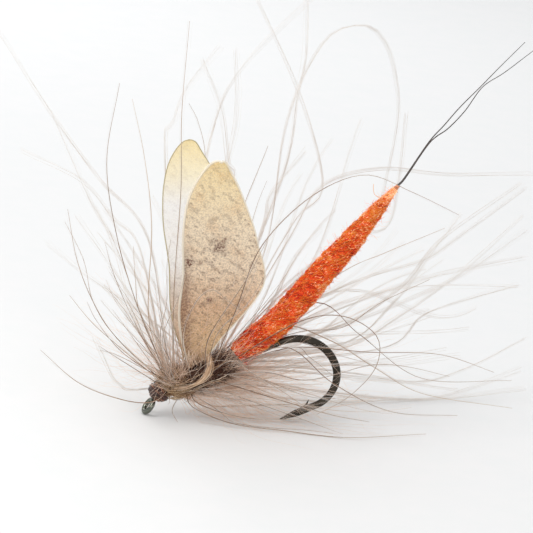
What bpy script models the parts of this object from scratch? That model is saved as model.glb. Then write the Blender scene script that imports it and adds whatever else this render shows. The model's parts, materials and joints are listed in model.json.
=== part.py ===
"""Dry fly, a mayfly pattern tied on a forged hook. Metres, +Z up, +X from the hook eye to the bend.

The origin is the centre of the ring eye. The fly stands on its eye and its hook point, so the
shank slopes. Lengths below are in millimetres and are scaled once, where a mesh is made.
The hook's own plane has s along the shank, away from the eye, and t square to it, upwards.
"""
import math

import bpy
from mathutils import Matrix, Vector

MM = 0.001

# hook wire
WIRE_RADIUS = 0.28
EYE_WIRE_RADIUS = 0.19
EYE_RING_RADIUS = 0.52
EYE_DROP = 0.92
EYE_DOWN_ANGLE = math.radians(35.0)
NECK_FILLET = 1.0
GAPE = 6.1
BEND_S = 11.3
UPPER_BEND_RADIUS = 3.65
LOWER_BEND_RADIUS = 2.45
POINT_S = 9.45
POINT_RISE = 0.04
POINT_TIP_RADIUS = 0.03
FORGED_HALF_WIDTH = 0.20
FORGED_HALF_HEIGHT = 0.31
BARB_START_S = 11.45
BARB_TIP_S = 12.15
BARB_HEIGHT = 0.42
HOOK_SIDES = 16
CLEARANCE = 0.015

# windings and dubbing along the shank
HEAD_RADII = [0.60, 0.68, 0.74, 0.78, 0.78, 0.74, 0.62]
WHIP_LENGTH = 0.24
COLLAR_START_S = 1.62
COLLAR_END_S = 2.45
THORAX_FRONT_END_S = 4.0
WING_WRAPS_END_S = 4.9
THORAX_REAR_END_S = 7.25
THREAD_BASE_RADIUS = 0.37
THORAX_RADIUS = 1.15
BODY_SIDES = 20

# body that stands off the shank, as (x, z) along its centre line
ABDOMEN_ROOT_LINE = [(6.5, 4.3), (7.95, 5.85), (9.45, 7.35)]
ABDOMEN_LINE = [(9.45, 7.35), (10.85, 9.2), (12.1, 11.05), (13.35, 12.8),
                (14.5, 14.4), (15.4, 15.75), (16.2, 17.0), (17.2, 18.45)]
ABDOMEN_RADII = [1.0, 1.04, 0.98, 0.90, 0.78, 0.60, 0.42, 0.16]
ABDOMEN_ROOT_RADIUS = 1.06
SOCKET_RADIUS = 1.00
BALL_RADIUS = 0.98
SOCKET_SETBACK = 0.30
DUBBING_RIDGE = 0.025

# tails, as (x, z, half spread) along their common line
TAIL_LINE = [(17.42, 18.78, 0.07), (17.85, 19.4, 0.07), (19.35, 22.3, 0.09), (20.5, 23.6, 0.45),
             (21.6, 25.1, 0.55), (22.9, 27.0, 0.15), (24.3, 28.4, 0.65), (26.3, 30.5, 1.1)]
TAIL_ROOT_RADIUS = 0.055
TAIL_TIP_RADIUS = 0.03

# wings, as (height, leading edge, trailing edge) up from the pivot
WING_PIVOT_S = 4.45
WING_PIVOT_T = 2.16
WING_PIVOT_Y = 0.32
WING_SPLAY = math.radians(9.5)
WING_RAKE_LEFT = 0.0
WING_RAKE_RIGHT = math.radians(2.0)
WING_OUTLINE = [(0.0, -0.75, 0.75), (1.0, -1.15, 1.2), (2.4, -1.7, 1.85), (4.0, -2.1, 2.75),
                (5.6, -2.25, 3.6), (6.9, -2.35, 4.05), (8.2, -2.6, 3.85), (9.8, -2.95, 3.1),
                (11.4, -3.15, 2.4), (13.0, -3.2, 1.5), (14.6, -2.95, 0.55), (15.8, -2.45, -0.3),
                (16.5, -1.7, -0.9)]
WING_THICKNESS = 0.10
WING_CUP = 0.22
WING_COLUMNS = 7
STEM_RADIUS = 0.2
STEM_MARKS = [(5.45, 2.35, 0.75), (5.35, 1.85, 1.14), (5.0, 1.4, 1.36), (4.35, 0.95, 1.42),
              (3.5, 0.8, 1.38), (2.7, 0.9, 1.28), (2.1, 1.1, 1.12)]

# hackle hairs
HAIR_ROOT_RADIUS = 0.055
HAIR_TIP_RADIUS = 0.022
HAIR_SIDES = 5
HAIR_STEPS = 14
HAIR_DEPTH = 0.12
ROOT_RADIUS = 1.08

ACROSS = Vector((0.0, 1.0, 0.0))


def clear_scene():
    for obj in list(bpy.data.objects):
        bpy.data.objects.remove(obj, do_unlink=True)


def principled(name, colour, roughness, metallic=0.0):
    material = bpy.data.materials.new(name)
    material.use_nodes = True
    shader = material.node_tree.nodes["Principled BSDF"]
    shader.inputs["Base Color"].default_value = (*colour, 1.0)
    shader.inputs["Roughness"].default_value = roughness
    shader.inputs["Metallic"].default_value = metallic
    return material


def eye_direction():
    """The way the eye points from the shank, in the hook's plane."""
    return (-math.cos(EYE_DOWN_ANGLE), -math.sin(EYE_DOWN_ANGLE))


def stance_tilt():
    """The slope of the shank when the eye and the hook point both touch the floor."""
    ds, dt = eye_direction()
    across = POINT_S - ds * EYE_RING_RADIUS
    rise = EYE_DROP - GAPE + POINT_RISE - dt * EYE_RING_RADIUS
    reach = math.hypot(across, rise)
    return math.asin((POINT_TIP_RADIUS - EYE_WIRE_RADIUS) / reach) - math.atan2(rise, across)


TILT = stance_tilt()
SHANK = Vector((math.cos(TILT), 0.0, math.sin(TILT)))
RISE = Vector((-math.sin(TILT), 0.0, math.cos(TILT)))
FLOOR_Z = (eye_direction()[0] * EYE_RING_RADIUS * math.sin(TILT)
           + eye_direction()[1] * EYE_RING_RADIUS * math.cos(TILT) - EYE_WIRE_RADIUS)


def at(s, t, y=0.0):
    """The place of a point given in the hook's plane."""
    return SHANK * s + RISE * t + ACROSS * y


def smooth_line(points, steps):
    """A curve through the given points, with the given steps between each pair."""
    ends = [points[0] * 2 - points[1]] + list(points) + [points[-1] * 2 - points[-2]]
    line = []
    for i in range(1, len(ends) - 2):
        a, b, c, d = ends[i - 1:i + 3]
        for k in range(steps):
            u = k / steps
            line.append(0.5 * (b * 2 + (c - a) * u + (a * 2 - b * 5 + c * 4 - d) * u ** 2
                               + (b * 3 - a - c * 3 + d) * u ** 3))
    line.append(points[-1].copy())
    return line


def smooth_values(values, steps):
    line = smooth_line([Vector((v, 0.0, 0.0)) for v in values], steps)
    return [p.x for p in line]


def tangents(path):
    out = []
    for i in range(len(path)):
        before = path[max(i - 1, 0)]
        after = path[min(i + 1, len(path) - 1)]
        out.append((after - before).normalized())
    return out


def frames(path, side):
    """A side and a second direction for each point, turning no more than the path does."""
    found = []
    along = tangents(path)
    side = (side - along[0] * side.dot(along[0])).normalized()
    for i, forward in enumerate(along):
        if i:
            side = along[i - 1].rotation_difference(forward) @ side
        side = (side - forward * side.dot(forward)).normalized()
        found.append((side, forward.cross(side)))
    return found


def ring_points(centre, side, second, radius, sides):
    out = []
    for k in range(sides):
        angle = 2 * math.pi * k / sides
        out.append(centre + (side * math.cos(angle) + second * math.sin(angle)) * radius)
    return out


def bridge(faces, first, second, sides):
    for k in range(sides):
        n = (k + 1) % sides
        faces.append((first + k, first + n, second + n, second + k))


def make_object(name, points, faces, material, pivot=None, flat_faces=()):
    """A named object from points in millimetres, with its origin on the pivot."""
    pivot = pivot or Vector((0.0, 0.0, 0.0))
    mesh = bpy.data.meshes.new(name)
    mesh.from_pydata([(p - pivot) * MM for p in points], [], faces)
    mesh.update()
    for polygon in mesh.polygons:
        polygon.use_smooth = polygon.index not in flat_faces
    mesh.materials.append(material)
    obj = bpy.data.objects.new(name, mesh)
    obj.location = pivot * MM
    bpy.context.scene.collection.objects.link(obj)
    return obj


def solid_sweep(name, path, radii, sides, material, side=ACROSS, pivot=None):
    """A round solid along a path, closed with a flat cap at each end."""
    points, faces = [], []
    for centre, (one, two), radius in zip(path, frames(path, side), radii):
        points += ring_points(centre, one, two, radius, sides)
    for i in range(len(path) - 1):
        bridge(faces, i * sides, (i + 1) * sides, sides)
    faces.append(tuple(reversed(range(sides))))
    last = (len(path) - 1) * sides
    faces.append(tuple(range(last, last + sides)))
    return make_object(name, points, faces, material, pivot)


def sleeve(name, path, outer, inner, sides, material):
    """A round tube along a path, with its own outer and inner radius at each point."""
    points, faces = [], []
    turn = frames(path, ACROSS)
    for centre, (one, two), radius in zip(path, turn, outer):
        points += ring_points(centre, one, two, radius, sides)
    start = len(points)
    for centre, (one, two), radius in zip(path, turn, inner):
        points += ring_points(centre, one, two, radius, sides)
    count = len(path)
    for i in range(count - 1):
        bridge(faces, i * sides, (i + 1) * sides, sides)
        bridge(faces, start + (i + 1) * sides, start + i * sides, sides)
    bridge(faces, start, 0, sides)
    bridge(faces, (count - 1) * sides, start + (count - 1) * sides, sides)
    return make_object(name, points, faces, material)


def arc(centre_s, centre_t, radius, start, stop, steps):
    out = []
    for k in range(steps + 1):
        angle = math.radians(start + (stop - start) * k / steps)
        out.append((centre_s + radius * math.cos(angle), centre_t + radius * math.sin(angle)))
    return out


def neck_line():
    """The wire's centre line in the hook's plane, from the shank down to the top of the eye."""
    ds, dt = eye_direction()
    half = NECK_FILLET * math.tan(EYE_DOWN_ANGLE / 2)
    corner_s = EYE_DROP / math.tan(EYE_DOWN_ANGLE)
    line = [(corner_s + half + 0.55, EYE_DROP), (corner_s + half + 0.25, EYE_DROP)]
    down = math.degrees(EYE_DOWN_ANGLE)
    line += arc(corner_s + half, EYE_DROP - NECK_FILLET, NECK_FILLET, 90.0, 90.0 + down, 6)
    for reach in (0.62, 0.42):
        line.append((-ds * (EYE_RING_RADIUS + reach - 0.1), -dt * (EYE_RING_RADIUS + reach - 0.1)))
    return [point for point in line if point[1] > -dt * EYE_RING_RADIUS]


def hook_sections():
    """Centre, in-plane radius, side radius, flat half width and barb lift along the wire."""
    leg_t = EYE_DROP - GAPE
    rows = []
    taper = [(0.0, POINT_TIP_RADIUS), (0.12, 0.07), (0.35, 0.13), (0.65, 0.19), (1.0, 0.24), (1.4, WIRE_RADIUS)]
    for step, radius in taper:
        rise = POINT_RISE * (1 - step / 1.4)
        rows.append((at(POINT_S + step, leg_t + rise), radius, radius, radius, 0.0))
    barb = [(BARB_START_S, 0.0), (BARB_TIP_S - 0.25, 0.6), (BARB_TIP_S - 0.08, 1.0), (BARB_TIP_S, 0.0)]
    for s, lift in barb:
        rows.append((at(s, leg_t), WIRE_RADIUS, WIRE_RADIUS, WIRE_RADIUS, lift * BARB_HEIGHT))
    start_s = BEND_S + UPPER_BEND_RADIUS - LOWER_BEND_RADIUS
    lower_t = leg_t + LOWER_BEND_RADIUS
    forged = (FORGED_HALF_HEIGHT, FORGED_HALF_HEIGHT, FORGED_HALF_WIDTH, 0.0)
    for s, t in arc(start_s, lower_t, LOWER_BEND_RADIUS, -90.0, 0.0, 12):
        rows.append((at(s, t), *forged))
    upper = arc(BEND_S, EYE_DROP - UPPER_BEND_RADIUS, UPPER_BEND_RADIUS,
                math.degrees(math.asin((lower_t - EYE_DROP + UPPER_BEND_RADIUS) / UPPER_BEND_RADIUS)), 90.0, 13)
    for s, t in upper[1:]:
        rows.append((at(s, t), *forged))
    shank = (WIRE_RADIUS, WIRE_RADIUS, WIRE_RADIUS, 0.0)
    for s in (BEND_S - 0.6, BEND_S - 4.0, BEND_S - 7.0):
        rows.append((at(s, EYE_DROP), *shank))
    neck = neck_line()
    for i, (s, t) in enumerate(neck):
        radius = WIRE_RADIUS + (EYE_WIRE_RADIUS - WIRE_RADIUS) * i / (len(neck) - 1)
        rows.append((at(s, t), radius, radius, radius, 0.0))
    return rows


def eye_rows():
    """The ring, which turns to the near side and closes just short of the neck."""
    ds, dt = eye_direction()
    up = at(-ds, -dt)
    rows = [up * (EYE_RING_RADIUS + 0.13) - ACROSS * 0.05]
    for step in range(30, 316, 15):
        angle = math.radians(step)
        rows.append((up * math.cos(angle) - ACROSS * math.sin(angle)) * EYE_RING_RADIUS)
    return [(p, EYE_WIRE_RADIUS, EYE_WIRE_RADIUS, EYE_WIRE_RADIUS, 0.0) for p in rows]


def build_hook(material):
    planar = hook_sections()
    rows = planar + eye_rows()
    path = [row[0] for row in rows]
    turn = frames(path, ACROSS)
    along = tangents(path)
    points, faces, flats = [], [], set()
    for index, (centre, height, width, flat, lift) in enumerate(rows):
        side, inward = turn[index]
        if index < len(planar) - 1:
            side = ACROSS
            inward = along[index].cross(ACROSS)
        for k in range(HOOK_SIDES):
            angle = 2 * math.pi * k / HOOK_SIDES
            across = max(-flat, min(flat, width * math.sin(angle)))
            raised = lift if k == 0 else (0.25 * lift if k in (1, HOOK_SIDES - 1) else 0.0)
            slip = 0.12 if (k == 0 and lift > 0.9 * BARB_HEIGHT) else 0.0
            place = centre + side * across + inward * (height * math.cos(angle) + raised)
            points.append(place + SHANK * slip)
    for i in range(len(rows) - 1):
        for k in range(HOOK_SIDES):
            n = (k + 1) % HOOK_SIDES
            here, there = i * HOOK_SIDES, (i + 1) * HOOK_SIDES
            corners = (here + n, here + k, there + k, there + n)
            if all(abs(abs(points[c].y) - FORGED_HALF_WIDTH) < 1e-6 for c in corners):
                flats.add(len(faces))
            faces.append(corners)
    faces.append(tuple(range(HOOK_SIDES)))
    last = (len(rows) - 1) * HOOK_SIDES
    faces.append(tuple(reversed(range(last, last + HOOK_SIDES))))
    return make_object("hook", points, faces, material, flat_faces=flats)


def shank_path(start, stop, steps):
    return [at(start + (stop - start) * k / steps, EYE_DROP) for k in range(steps + 1)]


def dubbed_radii(values, steps, ridge=DUBBING_RIDGE):
    """Smooth radii with the low ridges that twisted dubbing leaves."""
    radii = smooth_values(values, steps)
    return [r + (ridge if k % 2 else -ridge) for k, r in enumerate(radii)]


def build_shank_pieces(mats):
    bore = WIRE_RADIUS + CLEARANCE
    over_thread = THREAD_BASE_RADIUS + CLEARANCE
    path = shank_path(COLLAR_END_S + 0.05, THORAX_REAR_END_S, 6)
    sleeve("thread_base", path, [THREAD_BASE_RADIUS] * 7, [bore] * 7, HOOK_SIDES, mats["thread"])

    path = shank_path(COLLAR_START_S, COLLAR_END_S, 6)
    outer = dubbed_radii([0.80, 0.98, 1.04, 1.0], 2)
    sleeve("collar_dubbing", path, outer, [bore] * 7, BODY_SIDES, mats["collar"])

    path = shank_path(COLLAR_END_S + 0.03, THORAX_FRONT_END_S, 8)
    outer = dubbed_radii([0.98, 1.1, THORAX_RADIUS, 1.12, 1.0], 2)
    sleeve("thorax_front", path, outer, [over_thread] * 9, BODY_SIDES, mats["thorax"])

    path = shank_path(THORAX_FRONT_END_S + 0.02, WING_WRAPS_END_S, 10)
    outer = [0.96 if k % 2 else 0.90 for k in range(11)]
    sleeve("wing_wraps", path, outer, [over_thread] * 11, HOOK_SIDES, mats["thread"])

    path = shank_path(WING_WRAPS_END_S + 0.02, THORAX_REAR_END_S, 12)
    outer = dubbed_radii([1.0, 1.14, 1.18, 1.18, 1.14, 1.05, 0.85], 2)
    sleeve("thorax_rear", path, outer, [over_thread] * 13, BODY_SIDES, mats["thorax_rear"])


def build_head(mats):
    """Thread over the neck of the hook: a ridged head, then the finishing turns."""
    neck = [at(s, t) for s, t in neck_line()]
    wire = [WIRE_RADIUS + (EYE_WIRE_RADIUS - WIRE_RADIUS) * i / (len(neck) - 1) for i in range(len(neck))]
    fine = smooth_line(neck[3:-1], 3)
    inner = smooth_values([r + CLEARANCE for r in wire[3:-1]], 3)
    coarse = smooth_values(HEAD_RADII, 3)
    outer = [r + (0.022 if k % 2 else -0.012) for k, r in enumerate(coarse)]
    sleeve("head_wraps", fine, outer, inner, HOOK_SIDES, mats["head"])
    end = neck[-2]
    way = (neck[-1] - neck[-2]).normalized()
    steps = 6
    path = [end + way * (0.015 + WHIP_LENGTH * k / steps) for k in range(steps + 1)]
    outer = [0.56 - 0.16 * k / steps + (0.02 if k % 2 else -0.01) for k in range(steps + 1)]
    sleeve("whip_finish", path, outer, [wire[-2] + CLEARANCE] * (steps + 1), HOOK_SIDES, mats["head"])


def plane_points(pairs):
    return [Vector((x, 0.0, z)) for x, z in pairs]


def build_abdomen_root(material):
    """Orange dubbing round the shank and the start of the body, with a socket for the body."""
    line = smooth_line(plane_points(ABDOMEN_ROOT_LINE), 5)
    pivot = line[-1]
    heading = (plane_points(ABDOMEN_LINE)[1] - line[-3]).normalized()
    lip = pivot - heading * SOCKET_SETBACK
    path = [p for p in line if (lip - p).dot(heading) > 0.25] + [lip]
    radii = [ABDOMEN_ROOT_RADIUS + (DUBBING_RIDGE if k % 2 else -DUBBING_RIDGE) for k in range(len(path))]
    radii[0] = 0.98
    radii[-1] = ABDOMEN_ROOT_RADIUS
    points, faces = [], []
    turn = frames(path, ACROSS)
    first_centre = path[0] - (path[1] - path[0]).normalized() * 0.10
    points += ring_points(first_centre, *turn[0], 0.80, BODY_SIDES)
    for centre, (one, two), radius in zip(path, turn, radii):
        points += ring_points(centre, one, two, radius, BODY_SIDES)
    one = ACROSS
    two = heading.cross(ACROSS)
    for k in range(5):
        polar = math.acos(SOCKET_SETBACK / SOCKET_RADIUS) * (1 - k / 5)
        centre = pivot - heading * SOCKET_RADIUS * math.cos(polar)
        points += ring_points(centre, one, two, SOCKET_RADIUS * math.sin(polar), BODY_SIDES)
    count = len(points) // BODY_SIDES
    for i in range(count - 1):
        bridge(faces, i * BODY_SIDES, (i + 1) * BODY_SIDES, BODY_SIDES)
    faces.append(tuple(reversed(range(BODY_SIDES))))
    apex = len(points)
    points.append(pivot - heading * SOCKET_RADIUS)
    last = (count - 1) * BODY_SIDES
    for k in range(BODY_SIDES):
        faces.append((last + k, last + (k + 1) % BODY_SIDES, apex))
    root = make_object("abdomen_root", points, faces, material)
    cutter_path = [at(4.0, EYE_DROP), at(15.0, EYE_DROP)]
    cutter = solid_sweep("shank_cut", cutter_path, [WIRE_RADIUS + CLEARANCE] * 2, 24, material)
    cutter.display_type = "WIRE"
    cutter.hide_render = True
    cut = root.modifiers.new("shank_cut", "BOOLEAN")
    cut.operation = "DIFFERENCE"
    cut.solver = "EXACT"
    cut.object = cutter
    return root


def build_abdomen(material):
    """The standing body: a ball at the pivot, then a ridged taper to the tip."""
    steps = 4
    path = smooth_line(plane_points(ABDOMEN_LINE), steps)
    radii = smooth_values(ABDOMEN_RADII, steps)
    radii = [r + (DUBBING_RIDGE if k % 2 else -DUBBING_RIDGE) * min(1.0, 2.0 * r) for k, r in enumerate(radii)]
    radii[0] = BALL_RADIUS
    pivot = path[0]
    line = plane_points(ABDOMEN_ROOT_LINE)
    heading = (path[steps] - smooth_line(line, 5)[-3]).normalized()
    points, faces = [], []
    apex_first = pivot - heading * BALL_RADIUS
    points.append(apex_first)
    two = heading.cross(ACROSS)
    for k in range(1, 5):
        polar = math.pi / 2 * k / 5
        centre = pivot - heading * BALL_RADIUS * math.cos(polar)
        points += ring_points(centre, ACROSS, two, BALL_RADIUS * math.sin(polar), BODY_SIDES)
    turn = frames(path, ACROSS)
    turn[0] = (ACROSS, two)
    for centre, (one, other), radius in zip(path, turn, radii):
        points += ring_points(centre, one, other, radius, BODY_SIDES)
    for k in range(BODY_SIDES):
        faces.append((1 + (k + 1) % BODY_SIDES, 1 + k, 0))
    count = (len(points) - 1) // BODY_SIDES
    for i in range(count - 1):
        bridge(faces, 1 + i * BODY_SIDES, 1 + (i + 1) * BODY_SIDES, BODY_SIDES)
    last = 1 + (count - 1) * BODY_SIDES
    faces.append(tuple(range(last, last + BODY_SIDES)))
    return make_object("abdomen", points, faces, material, pivot)


def build_tail_wraps(material):
    line = plane_points(ABDOMEN_LINE)
    way = (line[-1] - line[-2]).normalized()
    path = [line[-1] + way * (0.015 + 0.3 * k / 6) for k in range(7)]
    radii = [(0.19 if k % 2 else 0.165) - 0.008 * k for k in range(7)]
    return solid_sweep("tail_wraps", path, radii, 12, material, pivot=line[0])


def build_tail(name, hand, material):
    points = [Vector((x, hand * y, z)) for x, z, y in TAIL_LINE]
    path = smooth_line(points, 3)
    count = len(path) - 1
    radii = [TAIL_ROOT_RADIUS + (TAIL_TIP_RADIUS - TAIL_ROOT_RADIUS) * k / count for k in range(count + 1)]
    pivot = Vector((TAIL_LINE[0][0], 0.0, TAIL_LINE[0][1]))
    return solid_sweep(name, path, radii, 6, material, pivot=pivot)


def build_wing(name, hand, rake, material):
    """A thin cupped leaf. hand is -1 on the left side and +1 on the right."""
    outline = smooth_line([Vector(row) for row in WING_OUTLINE], 1)
    up = Vector((0.0, hand * math.sin(WING_SPLAY), math.cos(WING_SPLAY)))
    along = Vector((1.0, 0.0, 0.0))
    turn = Matrix.Rotation(-rake, 3, "Y")
    outward = Vector((0.0, hand * math.cos(WING_SPLAY), -math.sin(WING_SPLAY)))
    pivot = at(WING_PIVOT_S, WING_PIVOT_T, hand * WING_PIVOT_Y)
    foot = pivot + up * 0.12
    points, faces = [], []
    sheets = []
    for offset in (-WING_THICKNESS / 2, WING_THICKNESS / 2):
        start = len(points)
        for height, lead, trail in outline:
            for c in range(WING_COLUMNS + 1):
                u = c / WING_COLUMNS
                wide = lead + (trail - lead) * u
                cup = WING_CUP * math.sin(math.pi * u) * min(1.0, height / 4.0)
                place = along * wide + up * height
                points.append(foot + turn @ place + outward * (cup + offset))
        sheets.append(start)
    rows = len(outline)
    wide = WING_COLUMNS + 1
    for r in range(rows - 1):
        for c in range(WING_COLUMNS):
            a, b = r * wide + c, r * wide + c + 1
            d, e = (r + 1) * wide + c, (r + 1) * wide + c + 1
            faces.append((sheets[1] + a, sheets[1] + b, sheets[1] + e, sheets[1] + d))
            faces.append((sheets[0] + d, sheets[0] + e, sheets[0] + b, sheets[0] + a))
    border = [c for c in range(wide)]
    border += [r * wide + wide - 1 for r in range(1, rows)]
    border += [(rows - 1) * wide + c for c in range(wide - 2, -1, -1)]
    border += [r * wide for r in range(rows - 2, 0, -1)]
    for here, there in zip(border, border[1:] + border[:1]):
        faces.append((sheets[0] + here, sheets[0] + there, sheets[1] + there, sheets[1] + here))
    if hand > 0:
        faces = [tuple(reversed(face)) for face in faces]
    return make_object(name, points, faces, material, pivot)


def build_wing_stem(name, hand, material):
    """The wing's own stem, laid down the side of the thorax and forward to the head."""
    path = smooth_line([at(s, t, hand * y) for s, t, y in STEM_MARKS], 3)
    count = len(path) - 1
    radii = [STEM_RADIUS * (0.8 + 0.4 * min(1.0, 3 * k / count)) * (1 - 0.65 * k / count)
             for k in range(count + 1)]
    return solid_sweep(name, path, radii, 8, material)


def hair_root(s, roll):
    """A place just inside the thorax. roll is 0 on top and positive to the right side."""
    turn = math.radians(roll)
    out = RISE * math.cos(turn) + ACROSS * math.sin(turn)
    return at(s, EYE_DROP) + out * (ROOT_RADIUS - HAIR_DEPTH)


def hair(name, s, roll, marks, material):
    """One hackle hair from the thorax through the given marks, kept off the floor."""
    points = [hair_root(s, roll)] + [Vector(mark) for mark in marks]
    fine = smooth_line(points, 12)
    reach = [0.0]
    for before, after in zip(fine, fine[1:]):
        reach.append(reach[-1] + (after - before).length)
    path, radii, spot = [], [], 0
    for k in range(HAIR_STEPS + 1):
        u = k / HAIR_STEPS
        want = reach[-1] * u
        while spot < len(reach) - 2 and reach[spot + 1] < want:
            spot += 1
        part = (want - reach[spot]) / (reach[spot + 1] - reach[spot])
        place = fine[spot].lerp(fine[spot + 1], part)
        radius = HAIR_ROOT_RADIUS + (HAIR_TIP_RADIUS - HAIR_ROOT_RADIUS) * u ** 1.5
        place.z = max(place.z, FLOOR_Z + radius)
        path.append(place)
        radii.append(radius)
    return solid_sweep(name, path, radii, HAIR_SIDES, material, side=Vector((0.31, 0.52, 0.79)))


# name, place along the shank, roll, then the marks the hair passes through, as x, y, z
HAIRS = [
    ("hackle_fan_1", 1.75, -60, [(-4, -2, 6), (-6.5, -3, 9), (-8.5, -4, 12.5), (-10, -5, 16.5)]),
    ("hackle_fan_2", 1.8, -75, [(-4, -2, 5.5), (-6.5, -3, 7.5), (-8.5, -3.5, 9.5)]),
    ("hackle_fan_3", 1.75, -90, [(-3.5, -3.5, 4.5), (-6.5, -6, 6.5)]),
    ("hackle_fan_4", 1.95, -35, [(-2.5, -1, 8.5), (-5, -1.5, 14), (-6.5, -1.5, 19.5), (-6.5, -2, 25.5)]),
    ("hackle_fan_5", 1.9, 10, [(-2, 0, 6.5), (-4, 0.5, 10), (-5, 1, 12.5)]),
    ("hackle_fan_6", 2.05, -20, [(-2, -1, 7.5), (-3, -1.5, 10.5), (-3.5, -1.5, 13)]),
    ("hackle_fan_7", 2.25, 40, [(-0.5, 1.5, 6.5), (-1, 2.5, 13.5), (-2, 3.5, 18.5), (-3.5, 4, 23)]),
    ("hackle_fan_8", 2.1, 60, [(-1, 4.5, 11), (-5.5, 7.5, 15), (-8.5, 9, 16.5)]),
    ("hackle_fan_9", 2.35, 60, [(-0.5, 4.5, 12), (-4.5, 6.5, 16), (-8.5, 8.5, 20.5), (-12, 10.5, 25)]),
    ("hackle_brow", 1.75, -110, [(-0.4, -1.0, 0.6), (-3, -1.2, 0.9), (-6.5, -2, 2.3), (-10, -3, 5)]),
    ("hackle_crown_1", 2.2, -60, [(0, -2, 10), (-1, -2.8, 18), (-2, -3.5, 24), (-2.5, -4, 31)]),
    ("hackle_crown_2", 4.2, 70, [(3.5, 3.5, 11.5), (3, 4, 18), (2, 4, 21), (1, 4, 23)]),
    ("hackle_crown_3", 4.6, 80, [(3.5, 5, 15), (4, 6.5, 20.5), (6, 8, 25.5), (11, 10, 29.5)]),
    ("hackle_crown_4", 6.2, 50, [(8, 3, 12), (9, 4.5, 22), (12, 6, 28.5), (15, 6.5, 29.5), (17.5, 7, 28)]),
    ("hackle_crown_5", 5.4, 60, [(5.5, 3.5, 13), (7.5, 4.5, 19.5)]),
    ("hackle_back_1", 6.6, 50, [(10.5, 3.5, 13), (13, 5, 17), (18, 6, 18.5), (28, 8, 18)]),
    ("hackle_back_2", 5.6, -55, [(5, -2.5, 9), (6, -3, 14), (10, -2.5, 17.5), (14, -2.5, 19.5), (21.5, -3, 17.5)]),
    ("hackle_back_3", 6.8, 60, [(14.5, 2.5, 10.5), (18.5, 3, 12.5), (23.5, 4, 14.5)]),
    ("hackle_back_4", 6.6, 80, [(16, 4, 6), (21.5, 6.5, 9), (25, 8, 12.5), (31, 10.5, 16)]),
    ("hackle_back_5", 6.8, 95, [(16.5, 4.5, 4), (21.5, 6.5, 6), (27.5, 9, 9.5), (31, 11, 12.5)]),
    ("hackle_back_6", 6.9, 70, [(16.5, 4.5, 7.5), (24.5, 7.5, 9.5), (31, 9.5, 10.5)]),
    ("hackle_back_7", 6.7, 110, [(14, 4, 3.5), (21.5, 6.5, 4), (25, 8.5, 6), (31, 11, 7)]),
    ("hackle_sweep_1", 6.5, -80, [(10, -2, 5.5), (16.5, -3.5, 6.5), (22, -4, 6.5), (26, -4.5, 5.5)]),
    ("hackle_sweep_2", 6.9, 75, [(12.5, 1.5, 8.5), (17, 2, 6.5), (23, 2.5, 2.5), (31, 3, 2.5)]),
    ("hackle_sweep_3", 6.8, 85, [(11.5, 1.5, 7.5), (15, 1.3, 8), (17.8, 1, 6.5), (18, 1, 4), (16.5, 1, 1.4), (14, 1, 0)]),
    ("hackle_sweep_4", 6.9, 90, [(11.5, 1.5, 6), (15.5, 2, 6.5), (18.5, 2.5, 8.5), (22.5, 3, 10.5)]),
    ("hackle_sweep_5", 6.7, -85, [(9.5, -2, 6), (13.5, -3, 3.5), (18.5, -3.2, 1.5), (24, -3.5, 1.5)]),
    ("hackle_sweep_6", 6.9, 80, [(10, 1.6, 6.5), (14.5, 1.6, 5.5), (18.5, 1.6, 3.5), (23, 1.6, 1.5), (31, 2, 0.5)]),
    ("hackle_low_1", 5.0, -110, [(8, -2.5, 2.5), (13.5, -3, 1), (17, -3, 0.5)]),
    ("hackle_low_2", 3.2, -130, [(3.5, -1.8, 0.9), (7, -2.5, 0.1), (11.5, -3, 0.3)]),
    ("hackle_low_3", 5.6, 110, [(9, 3, 1.6), (15.5, 3.8, 0.5), (24.5, 5.5, -0.4), (31, 7.5, 0)]),
]
# hairs that rest on the floor and keep the fly upright
PROPS = [
    ("hackle_prop_1", 3.0, -140, [(3, -1.6, 0.4), (6.5, -2.4, -0.7), (11, -3.2, -0.7), (15.5, -4, -0.7), (21, -5, 0.2)]),
    ("hackle_prop_2", 3.0, 140, [(3, 1.6, 0.4), (6.5, 2.4, -0.7), (11, 3.4, -0.7), (15.5, 4.4, -0.7), (20, 5.5, 0)]),
    ("hackle_prop_3", 2.6, -160, [(1.6, -1.0, 0.1), (1.9, -1.8, -0.7)]),
    ("hackle_prop_4", 2.6, 120, [(0.5, 3, 0.6), (-1.5, 6.5, -0.7)]),
]


def build_materials():
    return {
        "wire": principled("wire", (0.055, 0.052, 0.050), 0.28, 1.0),
        "thread": principled("thread", (0.11, 0.05, 0.03), 0.55),
        "head": principled("head", (0.075, 0.028, 0.016), 0.30),
        "collar": principled("collar", (0.42, 0.27, 0.12), 0.85),
        "thorax": principled("thorax", (0.13, 0.085, 0.060), 0.90),
        "thorax_rear": principled("thorax_rear", (0.060, 0.040, 0.030), 0.90),
        "orange": principled("orange", (0.80, 0.20, 0.07), 0.85),
        "orange_thread": principled("orange_thread", (0.75, 0.30, 0.12), 0.60),
        "tail": principled("tail", (0.035, 0.028, 0.024), 0.45),
        "wing": principled("wing", (0.60, 0.50, 0.33), 0.70),
        "stem": principled("stem", (0.62, 0.50, 0.36), 0.55),
        "hackle": principled("hackle", (0.24, 0.17, 0.12), 0.60),
    }


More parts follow.
